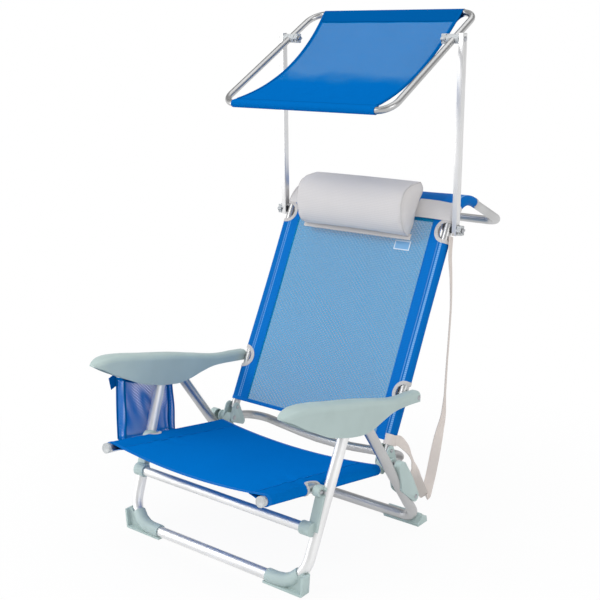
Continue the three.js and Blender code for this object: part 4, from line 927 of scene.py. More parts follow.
# The camera fitted to the photograph: angles, focal length and shift in pixels, place in millimetres
CAMERA_TURN, CAMERA_DIP, CAMERA_ROLL = 0.66141, 0.25292, 0.0011
CAMERA_FOCAL, CAMERA_SHIFT = 1040.0, (-0.59, 0.90)
CAMERA_PLACE = (1483.33, -1934.70, 1164.30)
SENSOR = 36.0

FLOOR_WASH = 0.94  # share of white on the floor near the chair, for the camera alone
FLOOR_MIRROR = 0.6  # the same for metal that mirrors the floor
ROOM_LIGHT = 0.74  # strength of the surround's light on the chair, where 1 is what the eye sees
ROOF_GLOSS = 0.42  # what metal mirrors overhead, against 1 at the horizon

# Name, place and size in metres, and power in watts of the soft boxes
SOFT_BOXES = [
    ("key_light", (-1.9, -2.6, 2.7), 1.8, 46.0), ("fill_light", (2.9, -1.3, 1.7), 1.6, 20.0),
    ("top_light", (0.2, 0.4, 3.4), 2.6, 22.0), ("low_light", (-2.4, -1.9, 0.6), 1.2, 13.0),
]


class BEACHCHAIR_OT_stage(bpy.types.Operator):
    """Set up the camera, the soft lights and the pale floor"""

    bl_idname = "beach_chair.stage"
    bl_label = "Stage"

    def execute(self, context):
        scene = context.scene
        scene.view_settings.view_transform = "Standard"
        turn, dip = CAMERA_TURN, CAMERA_DIP
        forward = Vector((-sin(turn) * cos(dip), cos(turn) * cos(dip), -sin(dip)))
        camera = bpy.data.cameras.new("camera")
        camera.sensor_width = SENSOR
        camera.lens = CAMERA_FOCAL / PHOTO_SIZE * SENSOR
        camera.shift_x, camera.shift_y = [shift / PHOTO_SIZE for shift in CAMERA_SHIFT]
        camera.dof.use_dof = False
        viewer = bpy.data.objects.new("camera", camera)
        scene.collection.objects.link(viewer)
        viewer.rotation_mode = "QUATERNION"
        viewer.rotation_quaternion = forward.to_track_quat("-Z", "Y")
        viewer.rotation_mode = "XYZ"
        viewer.rotation_euler.rotate_axis("Z", -CAMERA_ROLL)
        viewer.location = at(*CAMERA_PLACE)
        scene.camera = viewer
        self.add_floor()
        self.add_lights(scene)
        self.add_world(scene)
        return {"FINISHED"}

    @staticmethod
    def add_floor():
        """A wide pale floor that shows white and keeps the chair's shadow."""
        nothing_selected()
        bpy.ops.mesh.primitive_plane_add(size=30, location=(0, 0, 0))
        floor = bpy.context.object
        floor.name = "floor"
        material, tree, shader = new_material("painted_floor")
        place = node(tree, "TexCoord", "Object")
        grain = node(tree, "TexNoise", Vector=place, Scale=2.0)
        tone = node(tree, "Mix", 2, COLOURS, i0=grain, i6=linear("#e2e2e2"), i7=linear("#e6e6e6"))
        wire(tree, shader, Base_Color=tone, Roughness=0.9, Specular_IOR_Level=0.0)
        reach = node(tree, "VectorMath", "Value", {"operation": "LENGTH"}, i0=place)
        ray = node(tree, "LightPath", None)
        near = node(tree, "MapRange", i0=reach, i1=0.45, i2=1.1, i3=FLOOR_WASH, i4=1)
        mirrored = node(tree, "MapRange", i0=reach, i1=0.4, i2=1.0, i3=FLOOR_MIRROR, i4=1)
        seen = node(tree, "Math", 0, TIMES, i0=mirrored, i1=ray["Is Glossy Ray"])
        seen = node(tree, "Math", 0, TIMES_ADD, i0=near, i1=ray["Is Camera Ray"], i2=seen)
        white = node(tree, "Emission", Color=(1, 1, 1, 1), Strength=1.0)
        mixed = node(tree, "MixShader", i0=seen, i1=shader.outputs[0], i2=white)
        wire(tree, tree.nodes["Material Output"], Surface=mixed)
        floor.data.materials.append(material)

    @staticmethod
    def add_lights(scene):
        """Large soft boxes: key and a low one from the front left, fill from the right, one overhead."""
        for name, spot, size, power in SOFT_BOXES:
            light = bpy.data.lights.new(name, "AREA")
            light.shape = "SQUARE"
            light.size = size
            light.energy = power
            lamp = bpy.data.objects.new(name, light)
            lamp.location = spot
            heading = Vector((0, 0, 0.5)) - Vector(spot)
            lamp.rotation_euler = heading.to_track_quat("-Z", "Y").to_euler()
            scene.collection.objects.link(lamp)

    @staticmethod
    def add_world(scene):
        """A white surround for the eye and for reflections, and a calm grey one for light."""
        world = bpy.data.worlds.new("studio")
        world.use_nodes = True
        scene.world = world
        tree = world.node_tree
        tree.nodes.clear()
        ray = node(tree, "LightPath", None)
        seen = node(tree, "Math", 0, LARGER, i0=ray["Is Camera Ray"], i1=ray["Is Transmission Ray"])
        heading = node(tree, "TexCoord", "Generated")
        height = node(tree, "SeparateXYZ", 2, Vector=heading)
        dusk = node(tree, "MapRange", i0=height, i1=0.02, i2=0.4, i3=1, i4=ROOF_GLOSS)
        light, gloss, white = [node(tree, "Background", Color=(1, 1, 1, 1), Strength=strength)
                               for strength in (ROOM_LIGHT, dusk, 1.0)]
        mixed = node(tree, "MixShader", i0=ray["Is Glossy Ray"], i1=light, i2=gloss)
        mixed = node(tree, "MixShader", i0=seen, i1=mixed, i2=white)
        node(tree, "OutputWorld", None, Surface=mixed)


# The strap's middle line as (x, y, z) and the direction of its width, down to the crease and up again
ALONG_RAIL = (0.0, 0.45, 0.89)
STRAP_LINE = [
    (253.7, 237, 686, (-0.17, 0.98, 0.0)), (260, 224, 640, (-0.2, 0.98, 0.0)),
    (262, 228, 592, (-0.3, 0.95, 0.0)), (262, 233, 519, (-0.36, 0.93, 0.0)),
    (262, 229, 441, (-0.36, 0.93, 0.0)), (262, 223, 362, (-0.36, 0.93, 0.0)),
    (262, 219, 290, (-0.33, 0.94, 0.0)), (262, 214, 236, (0.0, 1.0, 0.0)),
    (262, 200, 200, (0.3, 0.95, 0.0)), (263, 186, 168, (0.6, 0.8, 0.0)),
    (263, 174, 132, (0.79, 0.61, 0.0)), (263, 161, 95, (0.79, 0.61, 0.0)),
    (263, 148, 66, (0.79, 0.61, 0.0)), (263, 141, 50, (0.79, 0.61, 0.0)),
    (261.5, 138, 47, (0.79, 0.61, 0.0)), (260, 134, 51, (0.79, 0.61, 0.0)),
    (260, 121, 72, (0.79, 0.61, 0.0)), (260, 104, 98, (0.79, 0.61, 0.0)),
    (261, 88, 124, (0.5, 0.85, 0.1)), (262, 76, 150, (-0.3, 0.9, 0.3)),
    (262, 68, 172, (-0.55, 0.75, 0.36)), (261, 56, 194, (-0.4, 0.65, 0.6)),
    (259, 36, 215, (-0.2, 0.5, 0.8)), (256.5, 20, 229, ALONG_RAIL),
    (254.6, 8, 233, ALONG_RAIL),
]
STRAP_LOOP_Z, STRAP_LOOP_RADIUS, STRAP_LOOP_WIDTH = 232.0, 14.4, 25
STRAP_THICKNESS = 1.6
STRAP_STEPS = 6


def strap_ring():
    """The end of the strap, wrapped once round the rail over the cloth's corner."""
    middle = Vector(back_rail_at(STRAP_LOOP_Z))
    along = (Vector(back_rail_at(STRAP_LOOP_Z + 1)) - middle).normalized()
    side = Vector((1, 0, 0))
    front = along.cross(side)

    def place(u, v):
        angle = 2 * pi * v
        out = (side * cos(angle) + front * sin(angle)) * STRAP_LOOP_RADIUS
        spot = middle + out + along * (u - 0.5) * STRAP_LOOP_WIDTH
        return at(*spot), (u * STRAP_LOOP_WIDTH * MM, angle * STRAP_LOOP_RADIUS * MM)

    ring = cloth_grid("ring", 3, 40, place)
    face_outwards(ring)
    return thicken(ring, STRAP_THICKNESS * MM, 50)


class BEACHCHAIR_OT_carry_strap(bpy.types.Operator):
    """Hang the long carry strap beside the right backrest rail"""

    bl_idname = "beach_chair.carry_strap"
    bl_label = "Carry Strap"

    def execute(self, context):
        sizes = context.scene.beach_chair_sizes
        points = spline_through([row[:3] for row in STRAP_LINE], STRAP_STEPS)
        count = len(points) - 1

        def across_at(i):
            along = (points[min(i + 1, count)] - points[max(i - 1, 0)]).normalized()
            k = min(i // STRAP_STEPS, len(STRAP_LINE) - 2)
            share = i / STRAP_STEPS - k
            wide = Vector(STRAP_LINE[k][3]).lerp(Vector(STRAP_LINE[k + 1][3]), share)
            return (wide - along * wide.dot(along)).normalized()

        ring = finish_piece(strap_ring(), "carry_strap_loop", "strap", "backrest")
        piece = ribbon(points, across_at, sizes.webbing / MM, STRAP_THICKNESS, 5)
        finish_piece(piece, "carry_strap_webbing", "strap", "backrest",
                     ["carry_strap"])
        return {"FINISHED"}


# ---- Operators: frame ----


class BEACHCHAIR_OT_tubes(bpy.types.Operator):
    """Bend the tubes of legs, seat, backrest and canopy"""

    bl_idname = "beach_chair.tubes"
    bl_label = "Tubes"

    # Finishes of the tubes painted paler (painted highlight) or darker (painted shade) than the rest, by
    # body
    PAINTED_LIGHT_TONES = {"canopy": "loop", "front_legs": "front", "rear_legs": "rear", "backrest": "rear"}

    def execute(self, context):
        sizes = context.scene.beach_chair_sizes
        for name, body, route, setting, nodes in frame_routes():
            piece = draw_tube(*route, getattr(sizes, setting), sizes.tube_wall)
            finish = self.PAINTED_LIGHT_TONES.get(body, "aluminium")
            finish_piece(piece, name, finish, body, nodes)
        return {"FINISHED"}


class BEACHCHAIR_OT_fittings(bpy.types.Operator):
    """Round the edges of posts, feet, brackets, leaves and clamps"""

    bl_idname = "beach_chair.fittings"
    bl_label = "Fittings"

    MOULDED = [
        ("front_leg_bracket", "front_legs", 0.9), ("front_foot", "front_legs", 1.0),
        ("rear_foot", "rear_legs", 1.0), ("rear_leaf_inner", "rear_legs", 0.9),
        ("rear_leaf_outer", "rear_legs", 0.8), ("hinge_bracket", "backrest", 0.9),
        ("seat_rail_eye", "seat", 0.8),
    ]
    UPPER = [
        ("canopy_clamp", "moulded", "canopy", 0.8, "clear", "clear_grey_plastic"),
        ("canopy_post", "bar", "posts", 0.7, "aluminium", "aluminium"),
        ("post_washer", "disc", "posts", 0.2, "rubber", "seafoam_plastic"),
    ]

    def execute(self, context):
        for stem, body, width in self.MOULDED:
            for word in WORDS:
                self.add(stem, "moulded", word, body, width, "moulding", "seafoam_plastic")
        for word in WORDS:
            for stem, kind, body, width, finish, slot in self.UPPER:
                self.add(stem, kind, word, body, width, finish, slot)
        return {"FINISHED"}

    @staticmethod
    def add(stem, kind, word, body, width, finish, slot):
        """A fitting of one side, softened from its CAD node."""
        piece = soften(f"{stem}_{word}", width)
        finish_piece(piece, f"{stem}_{kind}_{word}", finish, body, [f"{stem}_{word}"])


class BEACHCHAIR_OT_fasteners(bpy.types.Operator):
    """Model the domed pins, rivets and bolts, and the star knobs"""

    bl_idname = "beach_chair.fasteners"
    bl_label = "Fasteners"

    PINS = [
        ("hinge_rivet", "backrest"), ("hinge_pin", "backrest"), ("arm_pivot_bolt", "backrest"),
        ("post_bolt", "backrest"), ("seat_pivot_pin", "front_legs"), ("leaf_rivet", "rear_legs"),
        ("canopy_bolt", "posts"),
    ]

    def execute(self, context):
        for stem, body in self.PINS:
            for word in WORDS:
                self.add_pin(f"{stem}_{word}", body)
        for side, word in SIDES:
            self.add_pin(f"arm_leg_pin_{word}", f"arm_{word}", (side,))
        for stem in ("post_knob", "canopy_knob"):
            for word in WORDS:
                self.add_knob(f"{stem}_{word}")
        return {"FINISHED"}

    @staticmethod
    def add_pin(cad_node, body, heads=(1, -1)):
        """A shank with domed heads, from the node's box."""
        low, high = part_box(cad_node)
        middle = (low + high) / 2
        head = (high.z - low.z) / 2
        shank, dome = head - 2.6 * MM, 2.4 * MM
        nothing_selected()
        bpy.ops.mesh.primitive_cylinder_add(vertices=24, radius=shank, depth=high.x - low.x - 2 * dome,
                                            location=middle, rotation=(0, pi / 2, 0))
        parts = [bpy.context.object]
        settle()
        for side in heads:
            edge = high.x if side > 0 else low.x
            nothing_selected()
            bpy.ops.mesh.primitive_uv_sphere_add(segments=24, ring_count=12, radius=head, location=middle,
                                                 rotation=(0, pi / 2, 0))
            cap = bpy.context.object
            settle()
            edit_all()
            bpy.ops.mesh.bisect(plane_co=middle, plane_no=(side, 0, 0), use_fill=True, clear_inner=True)
            bpy.ops.object.mode_set(mode="OBJECT")
            squeeze = dome / head
            for vertex in cap.data.vertices:
                vertex.co.x = edge - side * dome + (vertex.co.x - middle.x) * squeeze
            parts.append(cap)
        piece = join_pieces(parts)
        smooth(piece, 50)
        finish_piece(piece, f"{cad_node}_domed", "steel", body, [cad_node])

    @staticmethod
    def add_knob(cad_node):
        """A six-lobed knob with a raised hub and rounded edges."""
        low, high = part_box(cad_node)
        middle = (low + high) / 2
        depth = high.x - low.x
        outer = (high.z - low.z) / 2
        nothing_selected()
        bpy.ops.mesh.primitive_cylinder_add(vertices=72, radius=outer, depth=depth, location=middle,
                                            rotation=(0, pi / 2, 0), end_fill_type="NGON")
        knob = bpy.context.object
        settle()
        for vertex in knob.data.vertices:
            y, z = vertex.co.y - middle.y, vertex.co.z - middle.z
            reach = 1 - 0.15 * (1 - cos(6 * atan2(z, y)))
            vertex.co.y, vertex.co.z = middle.y + y * reach, middle.z + z * reach
        select_faces(knob, lambda face, layer: abs(face.normal.x) > 0.9)
        bpy.ops.mesh.inset(thickness=outer * 0.34, depth=-2.2 * MM)
        bpy.ops.mesh.inset(thickness=outer * 0.1, depth=0)
        bpy.ops.object.mode_set(mode="OBJECT")
        bevel(knob, 0.9, 40)
        smooth(knob, 45)
        finish_piece(knob, f"{cad_node}_star", "clear", cad_node, [cad_node])


class BEACHCHAIR_OT_rail_caps(bpy.types.Operator):
    """Plug the front ends of the seat rails"""

    bl_idname = "beach_chair.rail_caps"
    bl_label = "Rail Caps"

    def execute(self, context):
        for side, word in SIDES:
            front, rear = [Vector((side * x, y, z)) for x, y, z in map(seat_rail_at, SEAT_RAIL_ENDS)]
            heading = (front - rear).normalized()
            nothing_selected()
            middle = at(*(front + heading * 4.15))
            turned = heading.to_track_quat("Z", "Y").to_euler()
            bpy.ops.mesh.primitive_cylinder_add(vertices=48, radius=12 * MM, depth=7.7 * MM,
                                                location=middle, rotation=turned)
            cap = bpy.context.object
            settle()
            select_faces(cap, lambda face, layer: face.normal.dot(heading) > 0.9)
            bpy.ops.mesh.inset(thickness=2.6 * MM, depth=0)
            bpy.ops.mesh.inset(thickness=0.8 * MM, depth=-0.8 * MM)
            bpy.ops.object.mode_set(mode="OBJECT")
            bevel(cap, 1.1, 50)
            smooth(cap, 45)
            finish_piece(cap, f"seat_end_plug_{word}", "clear", "seat",
                         [f"seat_rail_cap_{word}"])
        return {"FINISHED"}


# ---- Operators: armrests ----

# The armrest's upper and lower edges as (y, z), its outer and inner sides as (y, x) and its crown
ARM_ENDS = (-448, 64)
ARM_TOP = [(-448, 431), (-432, 437), (-400, 438), (-350, 430), (-293, 417), (-197, 396),
           (-120, 376), (-50, 358), (-10, 352), (20, 350), (64, 345)]
ARM_LOW = [(-448, 427), (-432, 419), (-400, 399), (-360, 377), (-321, 357), (-270, 340), (-233, 330),
           (-187, 322), (-150, 323), (-105, 330), (-60, 334), (0, 329), (64, 321)]
ARM_OUTER = [(-448, 284), (-436, 294), (-410, 301), (-330, 303), (-200, 302), (-90, 296), (0, 288),
             (64, 285)]
ARM_INNER = [(-448, 268), (-436, 259), (-410, 254), (-330, 251), (-200, 256), (-90, 258), (-20, 257),
             (20, 255), (64, 254.5)]
ARM_CROWN = [(-448, 1.5), (-410, 4), (-200, 4), (-60, 3), (64, 1.5)]


class BEACHCHAIR_OT_armrests(bpy.types.Operator):
    """Mould the two armrest shells"""

    bl_idname = "beach_chair.armrests"
    bl_label = "Armrests"

    def execute(self, context):
        right = self.mould()
        left = mirror_copy(right)
        finish_piece(right, "armrest_shell_right", "moulding", "arm_right",
                     ["arm_right"])
        finish_piece(left, "armrest_shell_left", "moulding", "arm_left",
                     ["arm_left"])
        return {"FINISHED"}

    @staticmethod
    def mould():
        """A channel open underneath, from its nose to its closed rear lug."""
        stations, girth = 90, 40

        def place(u, v):
            y = ARM_ENDS[0] + (ARM_ENDS[1] - ARM_ENDS[0]) * v ** 1.25
            inner, outer = eased(ARM_INNER, y), eased(ARM_OUTER, y)
            top, low = eased(ARM_TOP, y), min(eased(ARM_LOW, y), eased(ARM_TOP, y) - 3)
            crown = min(eased(ARM_CROWN, y), (top - low) / 3)
            width, height = outer - inner, top - low
            corner = min(9.0, width / 3, height / 1.6)
            # Up the inner side, round a corner, over the top, round the other corner and down
            bend = pi / 2 * corner
            runs = [height - corner, bend, width - 2 * corner, bend, height - corner]
            goal = u * sum(runs)
            if goal <= runs[0]:
                x, z = inner, low + goal
            elif goal <= sum(runs[:2]):
                angle = (goal - runs[0]) / corner
                x, z = inner + corner * (1 - cos(angle)), top - corner * (1 - sin(angle))
            elif goal <= sum(runs[:3]):
                go = goal - sum(runs[:2])
                x, z = inner + corner + go, top
            elif goal <= sum(runs[:4]):
                angle = (goal - sum(runs[:3])) / corner
                x, z = outer - corner * (1 - sin(angle)), top - corner * (1 - cos(angle))
            else:
                x, z = outer, top - corner - (goal - sum(runs[:4]))
            across = (x - inner) / max(width, 1) * 2 - 1
            z += crown * (1 - across ** 2) * max(0.0, min(1.0, (z - low) / max(height, 1) * 4 - 3))
            return at(x, y, z), (goal * MM, y * MM)

        piece = cloth_grid("armrest", girth, stations, place)
        for end in reversed(ARM_ENDS):
            limit = at(0, end, 0).y
            fill_rim(piece, lambda ends: all(abs(spot.y - limit) < 1e-6 for spot in ends))
        face_outwards(piece)
        apply_modifier(piece, "SOLIDIFY", thickness=2.6 * MM, offset=-1, use_even_offset=True)
        bevel(piece, 0.8, 50, 2)
        smooth(piece, 50)
        return piece


# ---- Operators: cloths ----


CLOTH_INSET = 6  # how far the seat cloth ends short of each rail end


def seat_sling(sizes):
    """The seat's sling, from front to rear."""
    front, rear = SEAT_RAIL_ENDS
    rail = [Vector(seat_rail_at(front + CLOTH_INSET)), Vector(seat_rail_at(rear - CLOTH_INSET))]
    return Sling(rail, 42.0, sizes.rail_tube / MM / 2 + 1.1, lambda share: sizes.seat_sag / MM)


BACK_LOW_Z, BACK_BEND_Z = 228.0, 714.1
BACK_END_Y = 372  # where the back cloth ends behind the head rail


def back_sling(sizes):
    """The backrest's sling, from its lower hem over the head."""
    corners = [(back_rail_at(HEAD_BEND_Z), HEAD_BEND_RADIUS)]
    line = bent_points(back_rail_at(BACK_LOW_Z), corners, (RAIL_HALF, *TOWEL_BAR))
    kept = [p for p in line if p.y < BACK_END_Y]
    before, after = kept[-1], line[len(kept)]
    kept.append(before.lerp(after, (BACK_END_Y - before.y) / (after.y - before.y)))
    return Sling(kept, 40.0, sizes.rail_tube / MM / 2 + 1.1,
                 lambda share: sizes.back_sag / MM * (1 - share ** 3))


def notch_at(sling, place, inward, half_t):
    """A cut-out round the rail at a side-view place, open through the sleeve."""
    steps = [sling.length * i / 400 for i in range(400)]
    t = min(steps, key=lambda step: (sling.station(step)[0].yz - Vector(place)).length)
    centre = sling.station(t)[0]
    return (centre.x + sling.wrap / 2, t, sling.wrap / 2 + inward, half_t)


TAPE_THICKNESS = 2.6 * MM


def bind_notch(sling, notch, side, width):
    """The tape folded over the rim of a cut-out, following the cloth."""
    centre_s, centre_t, half_s, half_t = notch
    run = half_s - half_t
    rim = [(centre_s + run + half_t * cos(a), centre_t + half_t * sin(a), cos(a), sin(a))
           for a in [pi * (k / 24 - 0.5) for k in range(25)]]
    rim += [(centre_s + run * (1 - k / 6), centre_t + half_t, 0.0, 1.0) for k in range(1, 12)]
    rim += [(centre_s - run + half_t * cos(a), centre_t + half_t * sin(a), cos(a), sin(a))
            for a in [pi * (k / 24 + 0.5) for k in range(25)]]
    rim += [(centre_s - run * (1 - k / 6), centre_t - half_t, 0.0, -1.0) for k in range(1, 13)]

    def place(u, v):
        s, t, out_s, out_t = rim[min(round(v * (len(rim) - 1)), len(rim) - 1)]
        reach = u * width - 0.8
        spot = sling.place(side * (s + out_s * reach), t + out_t * reach, 0.4)
        return at(*spot), (reach * MM, v * 0.2)

    return thicken(cloth_grid("tape", 4, len(rim) - 1, place), TAPE_THICKNESS, 50)


def strip(sling, s_range, t_range, columns, rows, lift, thickness):
    """A flat piece of cloth sewn on the sling, such as a hem."""

    def place(u, v):
        s = s_range[0] + (s_range[1] - s_range[0]) * u
        t = t_range[0] + (t_range[1] - t_range[0]) * v
        middle_s, middle_t = sum(s_range) / 2, sum(t_range) / 2
        return at(*sling.place(s, t, lift)), ((s - middle_s) * MM, (t - middle_t) * MM)

    return thicken(cloth_grid("strip", columns, rows, place), thickness * MM)


def stitches(sling, s, t0, t1, lift=0.8):
    """A seam as a row of short raised stitches along the cloth."""
    count = int((t1 - t0) / (STITCH_PITCH / MM))
    rows = []
    for i in range(count):
        a, b = [t0 + (t1 - t0) * (i + share) / count for share in (0.15, 0.85)]
        line = [sling.place(s, a, lift), sling.place(s, (a + b) / 2, lift + 0.15), sling.place(s, b, lift)]
        rows.append(bead(line, 0.5, fine=1))
    return join_pieces(rows)


class BEACHCHAIR_OT_seat_cloth(bpy.types.Operator):
    """Stretch the seat's cloth between its rails"""

    bl_idname = "beach_chair.seat_cloth"
    bl_label = "Seat Cloth"

    def execute(self, context):
        sizes = context.scene.beach_chair_sizes
        sling = seat_sling(sizes)
        notch = notch_at(sling, SEAT_PIVOT, 4.0, 17.0)

        def wobble(s, t):
            near = max(0.0, 1 - abs(abs(s) - 194) / 14)
            pull = max(0.0, 1 - sqrt((abs(s) - 200) ** 2 + (t - notch[1]) ** 2) / 90)
            crease = 1.3 * pull * sin(0.11 * (t - notch[1]) + 0.06 * (abs(s) - 200))
            return 0.5 * sin(t / 8.0) * near + crease + 0.6 * sin(s / 37.0 + t / 61.0) * (1 - abs(s) / 260)

        piece = sew_sling(sling, 160, 110, [notch], sizes.cloth, "seat", wobble)
        finish_piece(piece, "seat_sling_cloth", "seat", "seat", ["seat_cloth"])
        width = 2 * sling.half_length(sling.rail[1]) * MM
        for side, word in SIDES:
            tape = bind_notch(sling, notch, side, 6.5)
            finish_piece(tape, f"seat_notch_tape_{word}", "tape", "seat")
        seams = [stitches(sling, side * 194, 8, sling.length - 8) for side, _ in SIDES]
        finish_piece(join_pieces(seams), "seat_seam_thread", "thread", "seat")
        reach = sling.half_length(sling.rail[0]) - sling.flap - 6
        hems = [strip(sling, (-reach, reach), (t, t + 9), 120, 2, 0.0, 2.4)
                for t in (-0.6, sling.length - 8.4)]
        finish_piece(join_pieces(hems), "seat_edge_hems", "band", "seat")
        return {"FINISHED"}


class BEACHCHAIR_OT_back_cloth(bpy.types.Operator):
    """Stretch the open mesh panel of the backrest and sew its sleeves, hems and plain label"""

    bl_idname = "beach_chair.back_cloth"
    bl_label = "Back Cloth"

    def execute(self, context):
        sizes = context.scene.beach_chair_sizes
        sling = back_sling(sizes)
        # The upper cut-out lies a little lower on the rail than the post's bolt
        post_spot = Vector(POST_PIVOT) - Vector((BACK_SLOPE, 1.0)).normalized() * 9
        notches = [notch_at(sling, ARM_REAR_PIVOT, 15.0, 22.0), notch_at(sling, post_spot, 20.0, 22.0)]

        piece = sew_sling(sling, 170, 180, notches, sizes.cloth, "back",
                          lambda s, t: 0.5 * sin(s / 41.0 + t / 73.0))
        finish_piece(piece, "back_sling_cloth", "back", "backrest", ["backrest_cloth"])
        width = 2 * sling.half_length(sling.rail[0]) * MM
        for number, notch in enumerate(notches):
            for side, word in SIDES:
                tape = bind_notch(sling, notch, side, 9.0)
                finish_piece(tape, f"back_notch_tape_{number}_{word}", "tape", "backrest")
        seams = [stitches(sling, side * s, 8, sling.length * 0.8) for side, _ in SIDES for s in (202, 229)]
        finish_piece(join_pieces(seams), "back_seam_thread", "thread", "backrest")
        reach = sling.half_length(sling.rail[0]) - sling.flap - 6
        hem = strip(sling, (-reach, reach), (-0.6, 9), 120, 2, 0.0, 2.6)
        finish_piece(hem, "back_lower_hem", "band", "backrest")
        rear = strip(sling, (-reach, reach), (sling.length - 9, sling.length + 0.6), 120, 2, 0.0, 2.8)
        finish_piece(rear, "back_head_binding", "tape", "backrest")
        label_t = (ARM_REAR_PIVOT[1] - BACK_LOW_Z) / RAIL_RISE + 355.5
        label = strip(sling, (108, 154), (label_t - 12, label_t + 12), 12, 6, 1.0, 0.8)
        finish_piece(label, "plain_label", "label", "backrest")
        return {"FINISHED"}


class BEACHCHAIR_OT_canopy_cloth(bpy.types.Operator):
    """Hang the canopy's cloth in its loop, with a hem round each bar"""

    bl_idname = "beach_chair.canopy_cloth"
    bl_label = "Canopy Cloth"

    HALF = 206.0
    ROWS = 170
    FLAPS = (16.0, 36.0)  # lengths turned back under the cloth at the front and rear bars

    def execute(self, context):
        sizes = context.scene.beach_chair_sizes
        slope = atan2(CANOPY_REAR[1] - CANOPY_FRONT[1], CANOPY_REAR[0] - CANOPY_FRONT[0])
        along = Vector((0, cos(slope), sin(slope)))
        up = Vector((0, -sin(slope), cos(slope)))
        front, rear = Vector((0, *CANOPY_FRONT)), Vector((0, *CANOPY_REAR))
        r = sizes.canopy_tube / MM / 2 + 1.0
        span = (rear - front).length
        sag = sizes.canopy_sag / MM

        def on_top(d):
            share = d / span
            return front + along * d + up * (r - sag * 4 * share * (1 - share))

        def under(d, share):
            return on_top(d) - up * (2.0 + (2 * r - 2.0) * share ** 1.5)

        line = [under(self.FLAPS[0] * (1 - k / 8), k / 8) for k in range(9)]
        for k in range(1, 13):
            angle = -pi / 2 - pi * k / 12
            line.append(front + along * (r * cos(angle)) + up * (r * sin(angle)))
        line += [on_top(span * k / 60) for k in range(1, 60)]
        for k in range(13):
            angle = pi / 2 - pi * k / 12
            line.append(rear + along * (r * cos(angle)) + up * (r * sin(angle)))
        line += [under(span - self.FLAPS[1] * k / 12, 1 - k / 12) for k in range(1, 13)]
        spots = walk(line, self.ROWS)

        def lay(s, row):
            point, gone = spots[row]
            share = min(max((point - front).dot(along) / span, 0.0), 1.0)
            bulge = 4 * share * (1 - share)
            half = self.HALF - 9 * bulge
            edge = abs(s) ** 6
            ripple = 1.2 * sin(s * 9 + share * 5) * bulge * (1 - abs(s)) + 2.0 * bulge * edge
            pull = bulge * max(0.0, 1 - abs(share - 0.14) / 0.2) * (1 - s * s)
            ripple += 3.2 * pull * sin(s * 11 - share * 24) + 1.8 * pull * sin(s * 23 + share * 30)
            spot = Vector((s * half, point.y, point.z)) + up * ripple
            return at(*spot), (s * self.HALF * MM, gone * MM)

        piece = cloth_grid("canopy", 110, self.ROWS,
                           lambda u, v: lay((u - 0.5) * 2, round(v * self.ROWS)))
        thicken(piece, sizes.cloth)
        finish_piece(piece, "canopy_shade_cloth", "canopy", "canopy", ["canopy_cloth"])
        hems = []
        first, last = 20, self.ROWS - 22
        for side, _ in SIDES:
            hem = cloth_grid("hem", 2, last - first, lambda u, v: lay(
                side * (0.968 + 0.034 * u), first + round(v * (last - first))))
            hems.append(thicken(hem, TAPE_THICKNESS, 50))
        finish_piece(join_pieces(hems), "canopy_side_hems", "hem", "canopy")
        return {"FINISHED"}


# The pillow's side view: its stuffed front from the lower corner to the upper one, and its flat back
PILLOW_FRONT = [(197, 679), (171, 700), (158, 744), (167, 785), (198, 805), (249, 810)]
PILLOW_BACK = [(249, 810), (261, 790), (249, 764), (233, 735), (217, 704), (197, 679)]
PILLOW_HALF = 160.0
PILLOW_SWELL = 5 * MM  # how far the stuffing may push the cover out at most


